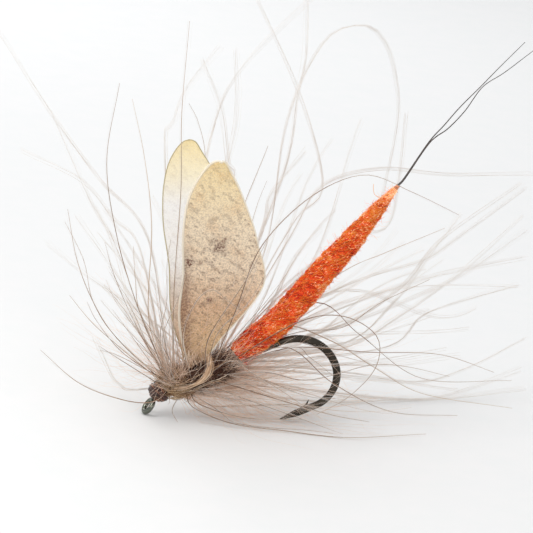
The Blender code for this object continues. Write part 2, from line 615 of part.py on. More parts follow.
def build():
    clear_scene()
    mats = build_materials()
    build_hook(mats["wire"])
    build_head(mats)
    build_shank_pieces(mats)
    build_abdomen_root(mats["orange"])
    build_abdomen(mats["orange"])
    build_tail_wraps(mats["orange_thread"])
    build_tail("tail_left", -1.0, mats["tail"])
    build_tail("tail_right", 1.0, mats["tail"])
    build_wing("left_wing", -1.0, WING_RAKE_LEFT, mats["wing"])
    build_wing("right_wing", 1.0, WING_RAKE_RIGHT, mats["wing"])
    build_wing_stem("left_wing_stem", -1.0, mats["stem"])
    build_wing_stem("right_wing_stem", 1.0, mats["stem"])
    for row in HAIRS + PROPS:
        hair(*row, mats["hackle"])


build()
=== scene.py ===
"""Dry fly: the looks of each piece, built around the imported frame.

Lengths here are in millimetres, and make_piece turns them into metres. In the hook's plane,
s runs along the shank from the eye, t runs up from the eye's centre, and y runs across.
"""

import json
import math

import bpy
import numpy as np
from mathutils import Matrix, Vector


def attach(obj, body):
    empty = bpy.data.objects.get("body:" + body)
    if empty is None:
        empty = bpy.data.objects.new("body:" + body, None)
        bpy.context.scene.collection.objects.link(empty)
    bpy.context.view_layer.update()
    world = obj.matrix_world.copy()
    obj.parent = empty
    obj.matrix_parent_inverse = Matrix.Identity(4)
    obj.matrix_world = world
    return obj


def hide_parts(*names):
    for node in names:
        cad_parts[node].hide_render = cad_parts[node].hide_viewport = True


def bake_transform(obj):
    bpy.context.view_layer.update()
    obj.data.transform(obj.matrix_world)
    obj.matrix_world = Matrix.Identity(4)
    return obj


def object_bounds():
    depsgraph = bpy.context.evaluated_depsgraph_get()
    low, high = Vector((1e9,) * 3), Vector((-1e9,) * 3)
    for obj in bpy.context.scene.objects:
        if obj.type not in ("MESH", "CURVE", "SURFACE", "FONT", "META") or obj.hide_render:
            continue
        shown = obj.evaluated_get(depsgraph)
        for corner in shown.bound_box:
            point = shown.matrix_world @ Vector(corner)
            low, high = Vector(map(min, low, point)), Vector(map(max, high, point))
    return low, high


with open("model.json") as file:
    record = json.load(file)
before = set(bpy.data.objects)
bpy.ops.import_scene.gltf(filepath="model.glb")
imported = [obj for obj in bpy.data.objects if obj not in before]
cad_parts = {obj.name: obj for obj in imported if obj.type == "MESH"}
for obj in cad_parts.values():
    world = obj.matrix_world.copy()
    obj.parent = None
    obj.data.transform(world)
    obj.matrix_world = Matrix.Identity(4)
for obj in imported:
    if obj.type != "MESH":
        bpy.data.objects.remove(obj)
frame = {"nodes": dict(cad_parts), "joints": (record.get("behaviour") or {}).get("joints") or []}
cad_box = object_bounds()

MM = 0.001
rng = np.random.default_rng(11)
SIDES = {"left": -1.0, "right": 1.0}
JOINTS = {joint["name"]: joint for joint in frame["joints"]}
SHANK = np.array(JOINTS["left_wing_flex"]["axis"])
RISE = np.array([-SHANK[2], 0.0, SHANK[0]])
ACROSS = np.array([0.0, 1.0, 0.0])
FLOOR_Z = cad_box[0][2] / MM
FLOOR_HALF = 1500.0

# mesh steps, and a direction that no path starts along
STEPS_PER_MARK = 16
HAIR_STEPS = 44
ALMOST_NOTHING = 1e-4
ODD_WAY = (0.31, 0.52, 0.79)

# the camera's direction and distance, and the width and centre of what it sees
SENSOR = 36.0
VIEW_AZIMUTH = math.radians(-20.0)
VIEW_ELEVATION = math.radians(15.0)
VIEW_ROLL = math.radians(8.8)
VIEW_DISTANCE = 260.0
VIEW_WIDTH = 40.8
VIEW_CENTRE = (9.03, 10.67)

# hook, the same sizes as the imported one
WIRE_RADIUS = 0.28
EYE_WIRE_RADIUS = 0.20
EYE_RING_RADIUS = 0.52
EYE_DROP = 0.92
EYE_DOWN = math.radians(35.0)
NECK_FILLET = 1.0
GAPE = 6.1
LEG_T = EYE_DROP - GAPE
BEND_S = 11.3
UPPER_BEND = 3.65
LOWER_BEND = 2.45
POINT_S = 9.45
POINT_LENGTH = 1.4
POINT_RADIUS = 0.012
FORGED_ACROSS = 0.20
FORGED_IN_PLANE = 0.31
BARB_START_S = 11.4
BARB_TIP_S = 12.15

# thorax radius along the shank, and how deep its hairs are rooted
THORAX_PROFILE = [(1.6, 0.80), (2.0, 1.0), (2.5, 1.05), (3.2, 1.15), (4.0, 1.05), (4.9, 1.0),
                  (5.6, 1.15), (6.4, 1.12), (7.0, 0.95), (7.25, 0.8)]
HAIR_DEPTH = 0.15

# standing body as (x, z, radius) along its line, tails as (x, z, distance to the side)
BODY_LINE = [(6.5, 4.3, 0.86), (7.95, 5.85, 1.06), (9.45, 7.35, 1.05), (10.85, 9.2, 1.04),
             (12.1, 11.05, 0.98), (13.35, 12.8, 0.90), (14.5, 14.4, 0.78), (15.4, 15.75, 0.62),
             (16.2, 17.0, 0.44), (17.2, 18.45, 0.17)]
TAIL_LINE = [(17.0, 18.1, 0.04), (17.42, 18.78, 0.07), (17.85, 19.4, 0.07), (19.35, 22.3, 0.09),
             (20.5, 23.6, 0.45), (21.6, 25.1, 0.55), (22.9, 27.0, 0.15), (24.3, 28.4, 0.65),
             (26.3, 30.5, 1.1)]
STRAY_FIBRE = [(16.2, 0, 17.5), (15.9, -0.3, 17.75), (15.45, -0.4, 17.95), (15.25, -0.4, 18.4),
               (15.2, -0.4, 18.8)]
# the tone of the pale glint fibres, after dark, middle and light: they glow a little in their own colour,
# painted sparkle highlights
PAINTED_GLINT_TONE = 3

# wings, as (height, leading edge, trailing edge) up from the pivot
WING_PIVOT = (4.45, 2.16, 0.32)
WING_SPLAY = math.radians(9.5)
WING_RAKE = {"left": 0.0, "right": math.radians(2.0)}
WING_OUTLINE = [(0.0, -0.75, 0.75), (1.0, -1.15, 1.2), (2.4, -1.7, 1.85), (4.0, -2.1, 2.75),
                (5.6, -2.25, 3.6), (6.9, -2.35, 4.05), (8.2, -2.6, 3.85), (9.8, -2.95, 3.1),
                (11.4, -3.15, 2.4), (13.0, -3.2, 1.5), (14.6, -2.95, 0.55), (15.8, -2.45, -0.3),
                (16.5, -1.9, -0.8), (16.68, -1.45, -1.15)]
WING_TOP = WING_OUTLINE[-1][0]
WING_CUP = 0.22
STEM_MARKS = [(5.45, 2.35, 0.75), (5.35, 1.85, 1.14), (5.0, 1.4, 1.36), (4.35, 0.95, 1.42),
              (3.5, 0.8, 1.38), (2.7, 0.9, 1.28), (2.1, 1.1, 1.12)]
STEM_RADIUS = 0.2

# dark blots on the near wing: centre across and up, size, and how dark
WING_BLOTS = [((-0.05, 9.7), 0.62, 0.80), ((-0.62, 10.25), 0.40, 0.62), ((0.18, 10.35), 0.36, 0.70),
              ((-2.2, 8.2), 0.58, 0.85), ((-1.35, 8.3), 0.34, 0.6), ((0.05, 5.2), 0.36, 0.8),
              ((-0.35, 4.8), 0.22, 0.5), ((-1.0, 3.4), 0.50, 0.55), ((-1.45, 6.4), 0.36, 0.4)]
# film colours as (share of height, colour); the far (right) wing's near-white middle is painted light
# from behind
WING_GROUND = {
    "left": [(0.0, (244, 212, 164)), (0.12, (242, 208, 164)), (0.28, (234, 198, 162)),
             (0.48, (250, 229, 201)), (0.66, (248, 229, 200)), (0.84, (246, 225, 184)),
             (1.0, (245, 221, 166))],
    # far wing: paler film, painted backlight
    "right": [(0.0, (220, 188, 156)), (0.22, (232, 212, 190)), (0.42, (255, 255, 253)),
              (0.70, (255, 255, 254)), (0.84, (254, 244, 214)), (1.0, (250, 230, 176))],
}

# single hackle hairs: place along the shank, roll (0 on top, 90 to the right side), root radius,
# then the marks that the hair passes through, as x, y, z
SHARP_HAIRS = [
    (1.75, -60, 0.036, [(-4, -2, 6), (-6.5, -3, 9), (-8.5, -4, 12.5), (-10, -5, 16.5)]),
    (1.7, -50, 0.026, [(-3.5, -1, 5.5), (-6, -1.5, 8.5), (-7.5, -2.5, 12), (-9.5, -3, 15)]),
    (1.8, -75, 0.036, [(-4, -2, 5.5), (-6.5, -3, 7.5), (-8.5, -3.5, 9.5)]),
    (1.8, -40, 0.026, [(-3, -1, 4.5), (-5.5, -1.5, 7), (-6.5, -1.5, 8.5)]),
    (1.75, -90, 0.032, [(-3.5, -3.5, 4.5), (-6.5, -6, 6.5)]),
    (1.95, -35, 0.036, [(-2.5, -1, 8.5), (-5, -1.5, 14), (-6.5, -1.5, 19.5), (-6.5, -2, 25.5)]),
    (1.9, 10, 0.030, [(-2, 0, 6.5), (-4, 0.5, 10), (-5, 1, 12.5)]),
    (2.05, -20, 0.034, [(-2, -1, 7.5), (-3, -1.5, 10.5), (-3.5, -1.5, 13)]),
    (1.9, -60, 0.028, [(-1.5, -2, 6.5), (-3, -2.5, 9), (-4.5, -2.5, 12), (-6, -3, 14.5)]),
    (2.25, 40, 0.034, [(-0.5, 1.5, 6.5), (-1, 2.5, 13.5), (-2, 3.5, 18.5), (-3.5, 4, 23)]),
    (2.1, -70, 0.028, [(-0.5, -2, 6), (-0.5, -2.2, 9), (-1, -2.5, 12), (-1, -2.5, 14)]),
    (2.4, -80, 0.026, [(-0.5, -2.5, 6), (0, -3.2, 9.5), (0.2, -3.5, 12)]),
    (1.75, -110, 0.034, [(-0.4, -1.0, 0.6), (-3, -1.2, 0.9), (-6.5, -2, 2.3), (-10, -3, 5)]),
    (2.2, -60, 0.034, [(0, -2, 10), (-1, -3.2, 18), (-2, -3.8, 24), (-2.5, -4, 31)]),
    (4.2, 70, 0.030, [(3.5, 3.5, 11.5), (3, 4, 18.5), (2, 4, 21.5), (1, 4, 23)]),
    (5.4, 60, 0.030, [(6, 3.5, 13), (8, 4.5, 20)]),
    (5.6, 40, 0.026, [(6.5, 2.5, 9), (7, 3, 13), (7.5, 3.5, 15.5), (8, 3.5, 17.5)]),
    (5.6, -55, 0.034, [(5, -2.5, 9), (6, -3, 14), (9.5, -2.5, 18), (13.5, -2.5, 20), (17.5, -3, 19),
                       (21.5, -3, 17.5)]),
    (4.8, -70, 0.034, [(3, -2.6, 6), (3.5, -3, 8), (5, -3.6, 11.5), (6, -4.2, 15)]),
    (5.0, -75, 0.030, [(3.5, -2.6, 6), (4, -2.8, 7.5), (5.5, -3.2, 9.5), (6.5, -3.6, 12)]),
    (3.6, -85, 0.026, [(1.0, -2.6, 6.5), (1.5, -3.2, 9.5), (2.5, -3.4, 10.5), (3.5, -3.4, 10),
                       (5, -3.2, 9)]),
    (6.8, 60, 0.032, [(14.5, 2.5, 10.5), (18.5, 3, 12.5), (23.5, 4, 14.5)]),
    (6.5, -80, 0.034, [(10, -2.4, 6), (16, -3.2, 6.2), (21.5, -3.8, 6.5), (26, -4.5, 5.5)]),
    (6.9, 75, 0.036, [(12.5, 1.5, 8.5), (17, 2, 6), (23, 2.5, 2.5), (31, 3, 2.5)]),
    (6.6, -70, 0.036, [(10, -2.4, 8), (13.5, -2.6, 8.8), (16.4, -3, 7.5), (16.8, -3, 5),
                       (15, -3, 2.5), (12.5, -3.2, 1)]),
    (6.9, 90, 0.034, [(11.5, 1.5, 6), (15.5, 2, 6.5), (18.5, 2.5, 8.5), (22.5, 3, 10.5)]),
    (6.7, -85, 0.034, [(9.5, -2.4, 6), (13.5, -3, 3.5), (18.5, -3.2, 1.5), (24, -3.5, 1.5)]),
    (6.9, 80, 0.034, [(10, 1.6, 6.5), (14.5, 1.6, 5.5), (18.5, 1.6, 3.5), (23, 1.6, 1.5), (31, 2, 0.5)]),
    (5.0, -110, 0.034, [(8, -2.6, 2.2), (13.5, -3, 1), (17, -3, 0.5)]),
    (3.2, -130, 0.030, [(3.5, -1.8, 0.9), (7, -2.4, 0.2), (11.5, -2.8, 0.4)]),
    (5.6, -100, 0.028, [(8, -2.6, 4), (11, -2.6, 3.5), (13.5, -2.6, 4), (16.5, -2.6, 5),
                        (19.5, -2.6, 5), (23, -3, 4.5)]),
    (6.9, -90, 0.028, [(10, -2.4, 6), (11.5, -2.4, 5.3), (13.5, -2.5, 4)]),
    (4.6, -100, 0.034, [(5.2, -2, 4.6), (7, -2.2, 3.8), (9.5, -2.6, 2.6), (11.5, -3, 1.5)]),
    (5.6, 95, 0.026, [(7, 2, 4.5), (9, 2, 5), (12, 2.5, 5), (16, 2.5, 4), (18.5, 2.5, 3.5)]),
    (3.0, -140, 0.034, [(3, -1.6, 0.6), (6, -2.4, -0.3), (10, -3, -0.5), (15, -4, -0.5), (21, -5, 0.4)]),
    (3.0, 140, 0.034, [(3, 1.6, 0.4), (6.5, 2.4, -0.6), (11, 3.4, -0.6), (15.5, 4.4, -0.6),
                       (20, 5.5, 0)]),
    (2.6, -160, 0.030, [(1.6, -1.0, 0.1), (1.9, -1.8, -0.6)]),
]
# soft hairs behind, the same without a radius
FAR_HAIRS = [
    (2.1, 60, [(-1, 4.5, 11), (-3, 6, 13), (-5.5, 7.5, 15.5), (-8.5, 9, 16.5)]),
    (2.35, 60, [(-0.5, 4.5, 12), (-4.5, 6.5, 16), (-8.5, 8.5, 20.5), (-12, 10.5, 25)]),
    (2.2, 55, [(-1, 3, 8.5), (-2.5, 4, 11), (-4.5, 5.5, 13.5), (-6, 6.5, 16), (-7.5, 8, 19)]),
    (1.9, 110, [(-1, 2, 0.6), (-1.5, 3, 0.6), (-2, 4, 1), (-2.5, 5, 2)]),
    (2.8, 70, [(0, 5, 19), (0.5, 5.5, 21), (1.5, 6.5, 23.5), (3, 7, 25.5)]),
    (4.6, 80, [(3.5, 5, 15), (4, 6.5, 20.5), (6, 8, 25), (11, 10, 30)]),
    (5.0, 75, [(4.6, 5, 15.5), (5.3, 5.5, 18.5), (5.8, 6.5, 22), (5.4, 7, 25)]),
    (5.0, 65, [(5.5, 4, 16.5), (5, 4.5, 18.5), (4, 5, 22.5), (3, 5.5, 24.5)]),
    (6.4, 80, [(11.5, 6, 13.5), (13.5, 6.5, 15.5), (13.5, 7, 18), (11, 8.5, 24), (7.5, 10, 30)]),
    (6.0, 70, [(9, 4.5, 15), (10, 5, 19.5), (10.5, 6.5, 23.5), (11, 7.5, 27), (11, 9, 30.5)]),
    (6.2, 50, [(8.5, 3, 12), (9.2, 4.5, 22), (11.7, 5.7, 28.3), (15, 6.3, 29.7), (17.2, 6.7, 28.3),
               (18.6, 7, 25.5), (19.5, 7.5, 22), (19.5, 8, 17)]),
    (6.6, 50, [(10.5, 3.5, 13), (13, 5, 17), (18, 6, 18.5), (24.5, 7.5, 18), (31, 9, 18)]),
    (6.6, 80, [(16, 4, 6), (21.5, 6, 9), (25, 8, 12.5), (31, 10.5, 16)]),
    (6.7, 70, [(14.5, 4, 8.5), (19, 5.5, 10), (23.5, 7, 11), (27.5, 9, 13), (31.5, 10.5, 15.5)]),
    (6.8, 95, [(16.5, 4.5, 4), (21.5, 6.5, 6), (27.5, 9, 9.5), (32, 11, 13)]),
    (6.7, 85, [(15.5, 4.5, 5.5), (19, 5.5, 6.5), (23, 7.5, 7.5), (28, 9, 9.5), (32.5, 11, 12)]),
    (6.9, 70, [(16.5, 4.5, 7.5), (24.5, 7.5, 9.5), (32, 10, 10.5)]),
    (6.7, 110, [(14, 4, 3.2), (21.5, 6, 4), (24.5, 8, 6), (29, 10, 7), (33, 12, 7.5)]),
    (6.8, 90, [(16.5, 4, 4.5), (21, 5.5, 8), (23, 6, 11), (25, 7, 13.5)]),
    (5.6, 110, [(9, 3, 1.6), (16, 4, 0.5), (25, 6, -0.4), (33, 8, 0)]),
    (6.2, 110, [(15.5, 4, 2), (24, 6, 1), (29, 7.5, 2), (33, 9, 3.5)]),
    (5.0, 130, [(9, 3, 0.5), (15.5, 4, -0.4), (21.5, 5.5, -0.5), (27, 7, -0.4), (33, 9, 1)]),
    (6.5, 65, [(12, 3.5, 10), (16.5, 5, 13), (19.3, 5.5, 14), (20, 6.5, 18), (20, 7, 21)]),
    (6.5, 45, [(8, 3, 13.5), (8.5, 3.5, 16.5), (10, 4, 18.5)]),
]

# sprays off the thorax: count, span of the shank, roll, pitch, turn by the tip, yaw, length, wave, steps
GUARD_SPRAYS = [
    (20, (1.7, 2.8), (-100, 30), (108, 158), (-22, 16), 30, (5, 12), 0.05, 18),
    (8, (4.6, 7.0), (-40, 70), (30, 100), (-30, 20), 24, (5, 12), 0.08, 18),
    (14, (3.0, 7.0), (-170, -110), (-25, 8), (0, 25), 20, (6, 15), 0.08, 18),
]
FAR_SPRAYS = [
    (12, (2.0, 5.0), (40, 110), (95, 150), (-20, 25), 36, (7, 16), 0.06, 18),
    (24, (5.0, 7.1), (50, 130), (-8, 46), (-25, 20), 26, (14, 27), 0.14, 26),
]
# shares of the three tones of a palette, and ranges of root radii
EVEN = (0.3, 0.4, 0.3)
LIGHT = (0.0, 0.3, 0.7)
NEAR_LOCK = (0.005, 0.009)
THIN = (0.007, 0.012)
# sprays with root radii and tones: below on the near side and the far side, to the rear, in the fan
# over the head, above the thorax, and over the root of the body
FINE_FUR = [
    (280, (2.2, 7.2), (-205, -125), (-45, 0), (0, 45), 22, (3, 9), 0.2, 16, THIN, EVEN),
    (330, (2.2, 7.2), (120, 205), (-45, 12), (0, 50), 30, (3, 13), 0.2, 16, THIN, EVEN),
    (110, (4.5, 7.2), (90, 180), (-25, 25), (-15, 25), 30, (9, 21), 0.14, 20, (0.008, 0.014), LIGHT),
    (230, (1.7, 3.4), (-110, 110), (75, 165), (-30, 30), 34, (3, 11), 0.2, 14, THIN, EVEN),
    (80, (4.6, 7.2), (-20, 120), (-5, 95), (-30, 20), 30, (2, 10), 0.2, 14, THIN, EVEN),
    (60, (6.0, 7.2), (-130, -20), (20, 75), (-20, 30), 14, (1.2, 4.5), 0.25, 12, THIN, EVEN),
]


# ------------------------------------------------------------------ lines and meshes


def shares(count):
    """Even steps from 0 to 1."""
    return np.linspace(0.0, 1.0, count)


def circle(count):
    """Even angles round one turn."""
    return np.linspace(0.0, 2 * math.pi, count, endpoint=False)


def around(one, two, angle):
    """The direction at an angle from the first of two that are square to each other."""
    return one * np.cos(angle)[..., None] + two * np.sin(angle)[..., None]


def at(s, t, y=0.0):
    """The place at s along the shank, t above the eye's centre and y across."""
    return SHANK * s + RISE * t + ACROSS * y


def unit(vectors):
    return vectors / np.maximum(np.linalg.norm(vectors, axis=-1, keepdims=True), 1e-9)


def curve(points, count):
    """Evenly spaced points along a smooth line through the given ones."""
    marks = np.array(points, float)
    ends = np.vstack([2 * marks[0] - marks[1], marks, 2 * marks[-1] - marks[-2]])
    u = np.linspace(0.0, 1.0, STEPS_PER_MARK, endpoint=False)[:, None]
    spans = []
    for a, b, c, d in zip(ends, ends[1:], ends[2:], ends[3:]):
        spans.append(0.5 * (2 * b + (c - a) * u + (2 * a - 5 * b + 4 * c - d) * u ** 2
                            + (3 * b - a - 3 * c + d) * u ** 3))
    fine = np.vstack(spans + [marks[-1:]])
    reach = np.concatenate([[0.0], np.cumsum(np.linalg.norm(np.diff(fine, axis=0), axis=1))])
    want = np.linspace(0.0, reach[-1], count)
    return np.stack([np.interp(want, reach, fine[:, k]) for k in range(fine.shape[1])], axis=1)


def turning(paths, first=ODD_WAY):
    """Two directions across each path at each point, turning no more than the path does."""
    ahead = unit(np.gradient(paths, axis=1))
    side = unit(np.cross(ahead[:, 0], np.array(first)))
    sides = []
    for k in range(paths.shape[1]):
        way = ahead[:, k]
        side = unit(side - way * (side * way).sum(-1, keepdims=True))
        sides.append(side)
    sides = np.stack(sides, axis=1)
    return sides, np.cross(ahead, sides)


def rings(paths, radii, count, first=ODD_WAY):
    """A ring of points round every point of every path."""
    side, second = turning(paths, first)
    out = around(side[:, :, None], second[:, :, None], circle(count))
    return paths[:, :, None] + out * radii[:, :, None, None]


def ring_faces(fibres, steps, sides):
    """Quads that join each ring to the next, as numbers into rings()' points."""
    fibre, step, k = np.meshgrid(np.arange(fibres), np.arange(steps - 1), np.arange(sides), indexing="ij")
    base = (fibre * steps + step) * sides
    after = (k + 1) % sides
    quads = np.stack([base + k, base + after, base + sides + after, base + sides + k], axis=-1)
    return quads.reshape(-1, 4)


def make_piece(name, points, quads, materials, picks=None):
    """A smooth-shaded mesh from points in millimetres. picks gives each face's material."""
    mesh = bpy.data.meshes.new(name)
    points = np.ascontiguousarray(np.asarray(points, np.float32).reshape(-1, 3) * MM)
    quads = np.ascontiguousarray(quads, np.int32)
    mesh.vertices.add(len(points))
    mesh.vertices.foreach_set("co", points.ravel())
    mesh.loops.add(quads.size)
    mesh.loops.foreach_set("vertex_index", quads.ravel())
    mesh.polygons.add(len(quads))
    mesh.polygons.foreach_set("loop_start", np.arange(len(quads), dtype=np.int32) * 4)
    for material in materials:
        mesh.materials.append(material)
    if picks is not None:
        mesh.polygons.foreach_set("material_index", np.ascontiguousarray(picks, np.int32))
    mesh.update(calc_edges=True)
    mesh.validate()
    mesh.shade_smooth()
    piece = bpy.data.objects.new(name, mesh)
    bpy.context.scene.collection.objects.link(piece)
    return piece


def tube(name, path, radii, sides, material):
    """One round piece along a path, closed at both ends by a last ring of almost no size."""
    path = np.vstack([path[:1], path, path[-1:]])
    path[0] -= unit(path[2] - path[1]) * ALMOST_NOTHING
    path[-1] += unit(path[-2] - path[-3]) * ALMOST_NOTHING
    radii = np.concatenate([[ALMOST_NOTHING], radii, [ALMOST_NOTHING]])
    points = rings(path[None], radii[None], sides)
    return make_piece(name, points, ring_faces(1, len(path), sides), [material])


class Strands:
    """Many thin fibres gathered into one piece. Its materials are tones times root, middle and tip."""

    def __init__(self, name, palette, sides=4):
        self.name, self.palette, self.sides = name, palette, sides
        self.points, self.quads, self.picks = [], [], []
        self.total = 0

    def add(self, paths, radii, tones):
        """paths is fibres x steps x 3. tones picks a tone of the palette for each fibre."""
        fibres, steps, _ = paths.shape
        self.points.append(rings(paths, radii, self.sides).reshape(-1, 3))
        self.quads.append(ring_faces(fibres, steps, self.sides) + self.total)
        self.total += fibres * steps * self.sides
        zone = np.minimum(2, np.arange(steps - 1) * 3 // (steps - 1))
        picks = np.asarray(tones)[:, None] * 3 + zone[None]
        self.picks.append(np.repeat(picks.ravel(), self.sides))

    def scatter(self, paths, radii, tones):
        """Adds fibres with tones at random. tones is the share of each."""
        self.add(paths, radii, rng.choice(len(tones), len(paths), p=tones))

    def add_one(self, path, radius, tone=0):
        """radius is one number, or one for each point of the path."""
        self.add(path[None], np.full((1, len(path)), radius), [tone])

    def build(self):
        return make_piece(self.name, np.concatenate(self.points), np.concatenate(self.quads),
                          self.palette, np.concatenate(self.picks))


# ------------------------------------------------------------------ fibres


def grow(roots, start, end, length, steps, wave):
    """Fibres that leave their roots in the start directions and turn to the end directions."""
    count = len(roots)
    u = shares(steps)[None, :, None]
    heading = unit(start)[:, None] * (1 - u) + unit(end)[:, None] * u
    sway = rng.normal(size=(2, count, 1, 3))
    cycles = rng.uniform(0.5, 1.4, (count, 1, 1)) * 2 * math.pi
    heading = heading + wave * (sway[0] * np.sin(cycles * u) + sway[1] * (np.cos(cycles * u) - 1))
    step = unit(heading) * (np.asarray(length)[:, None, None] / (steps - 1))
    along = np.concatenate([np.zeros((count, 1, 3)), np.cumsum(step[:, 1:], axis=1)], axis=1)
    return roots[:, None] + along


def taper(roots, steps, tip=0.3):
    """Fibre radii that fall from the root's radius to a share of it at the tip."""
    return np.asarray(roots)[:, None] * (1 - (1 - tip) * shares(steps)[None] ** 1.6)


def lift(paths, radii):
    """Keeps fibres on top of the floor."""
    paths[..., 2] = np.maximum(paths[..., 2], FLOOR_Z + radii + 0.01)
    return paths


def aim(pitch, yaw):
    """Directions from degrees: pitch 0 is to the rear, 90 up and 180 forward, yaw is across."""
    pitch, yaw = np.radians(pitch), np.radians(yaw)
    return np.stack([np.cos(pitch) * np.cos(yaw), np.sin(yaw), np.sin(pitch) * np.cos(yaw)], axis=-1)


def over_thorax(s, roll, above):
    """Places over the thorax, and the way out from each. roll is in radians, 0 on top."""
    profile = np.array(THORAX_PROFILE)
    radius = np.interp(s, profile[:, 0], profile[:, 1])
    out = around(RISE, ACROSS, roll)
    return SHANK * s[..., None] + RISE * EYE_DROP + out * (radius + above)[..., None], out


def thorax_places(count, s_range, roll_range, depth):
    """Random places under the thorax surface, and the way out from each."""
    s = rng.uniform(*s_range, count)
    roll = np.radians(rng.uniform(*roll_range, count))
    return over_thorax(s, roll, -depth)


def spray_paths(count, s_range, roll_range, pitch, turn, yaw, length, wave, steps):
    """The paths of fibres that spray off the thorax. turn is added to the pitch by the tip."""
    roots, out = thorax_places(count, s_range, roll_range, HAIR_DEPTH)
    pitch = rng.uniform(*pitch, count)
    end_pitch = pitch + rng.uniform(*turn, count)
    lean = yaw * out[:, 1] + rng.normal(0.0, 0.35 * yaw, count)
    start = aim(pitch, 0.6 * lean)
    end = aim(end_pitch, lean)
    return grow(roots, start, end, rng.uniform(*length, count), steps, wave)


def hair_paths(rows, further=0.0):
    """Smooth lines from the thorax through the marks of a table. further lengthens their tips."""
    s, roll = (np.array([row[k] for row in rows], float) for k in (0, 1))
    roots, _ = over_thorax(s, np.radians(roll), -HAIR_DEPTH)
    paths = []
    for root, (*_, marks) in zip(roots, rows):
        tip = np.array(marks[-1]) + further * unit(np.subtract(marks[-1], marks[-2]))
        paths.append(curve([root] + marks[:-1] + [tip], HAIR_STEPS))
    return np.stack(paths)


def add_fibres(strands, paths, radius, tones, tip=0.3):
    """Adds one fibre along each path. radius is the range of root radii, tones the share of each tone."""
    count, steps, _ = paths.shape
    radii = taper(rng.uniform(*radius, count), steps, tip)
    strands.scatter(lift(paths, radii), radii, tones)


def add_locks(strands, paths, count, spread, radius):
    """Adds a loose lock of fine fibres round each path, which wander slowly along it."""
    paths = np.repeat(paths, count, axis=0)
    u = shares(paths.shape[1])[None, :, None]
    sway = rng.normal(0.0, spread, (3, len(paths), 1, 3))
    phase = rng.uniform(0.0, 6.0, (len(paths), 1, 1))
    away = sway[0] + sway[1] * np.sin(5 * u + phase) + 0.5 * sway[2] * np.sin(12 * u + phase)
    add_fibres(strands, paths + away * (0.25 + 0.75 * u), radius, EVEN, 0.5)


def add_fuzz(strands, roots, start, end, length, radii, tones, wave):
    """Adds short loose fibres. radii is fibres x steps, tones the share of each tone."""
    paths = grow(roots, start, end, length, radii.shape[1], wave)
    strands.scatter(paths, radii, tones)


def lay_fibres(strands, count, s_start, s_end, roll, drift, radius, tones, above=(-0.05, 0.14), steps=14):
    """Adds fibres laid along the thorax, from s_start forward to s_end."""
    u = shares(steps)[None]
    start = rng.uniform(*s_start, (count, 1))
    end = rng.uniform(*s_end, (count, 1))
    turn = np.radians(rng.uniform(*roll, (count, 1)) + rng.normal(0.0, drift, (count, 1)) * u)
    bow = rng.uniform(*above, (count, 1)) + 0.10 * np.sin(math.pi * u) * rng.uniform(0.0, 1.0, (count, 1))
    bow = bow + 0.03 * np.sin(7 * u + rng.uniform(0, 6, (count, 1)))
    paths, _ = over_thorax(start + (end - start) * u, turn, bow)
    strands.scatter(paths, taper(rng.uniform(*radius, count), steps, 0.5), tones)


# ------------------------------------------------------------------ materials


def srgb(red, green, blue):
    """A colour from its usual 0 to 255 values."""
    def linear(value):
        value = value / 255.0
        return value / 12.92 if value <= 0.04045 else ((value + 0.055) / 1.055) ** 2.4
    return (linear(red), linear(green), linear(blue), 1.0)


class Nodes:
    """The node tree of a material or a world."""

    def __init__(self, owner):
        owner.use_nodes = True
        self.nodes = owner.node_tree.nodes
        self.links = owner.node_tree.links

    def feed(self, socket, value):
        """Gives an input a plain value, or a link from an output."""
        if isinstance(value, bpy.types.NodeSocket):
            self.links.new(value, socket)
        else:
            socket.default_value = value

    def node(self, kind, values=None, **settings):
        """A new node. values feeds its inputs, by name or by number."""
        made = self.nodes.new(kind)
        for key, value in settings.items():
            setattr(made, key, value)
        for socket, value in (values or {}).items():
            self.feed(made.inputs[socket], value)
        return made

    def step(self, value, low, high, bottom=0.0, top=1.0):
        """Smoothly from bottom, at low and beyond, to top, at high and beyond. low may be the larger."""
        values = {"Value": value, "From Min": low, "From Max": high, "To Min": bottom, "To Max": top}
        return self.node("ShaderNodeMapRange", values, interpolation_type="SMOOTHSTEP").outputs["Result"]


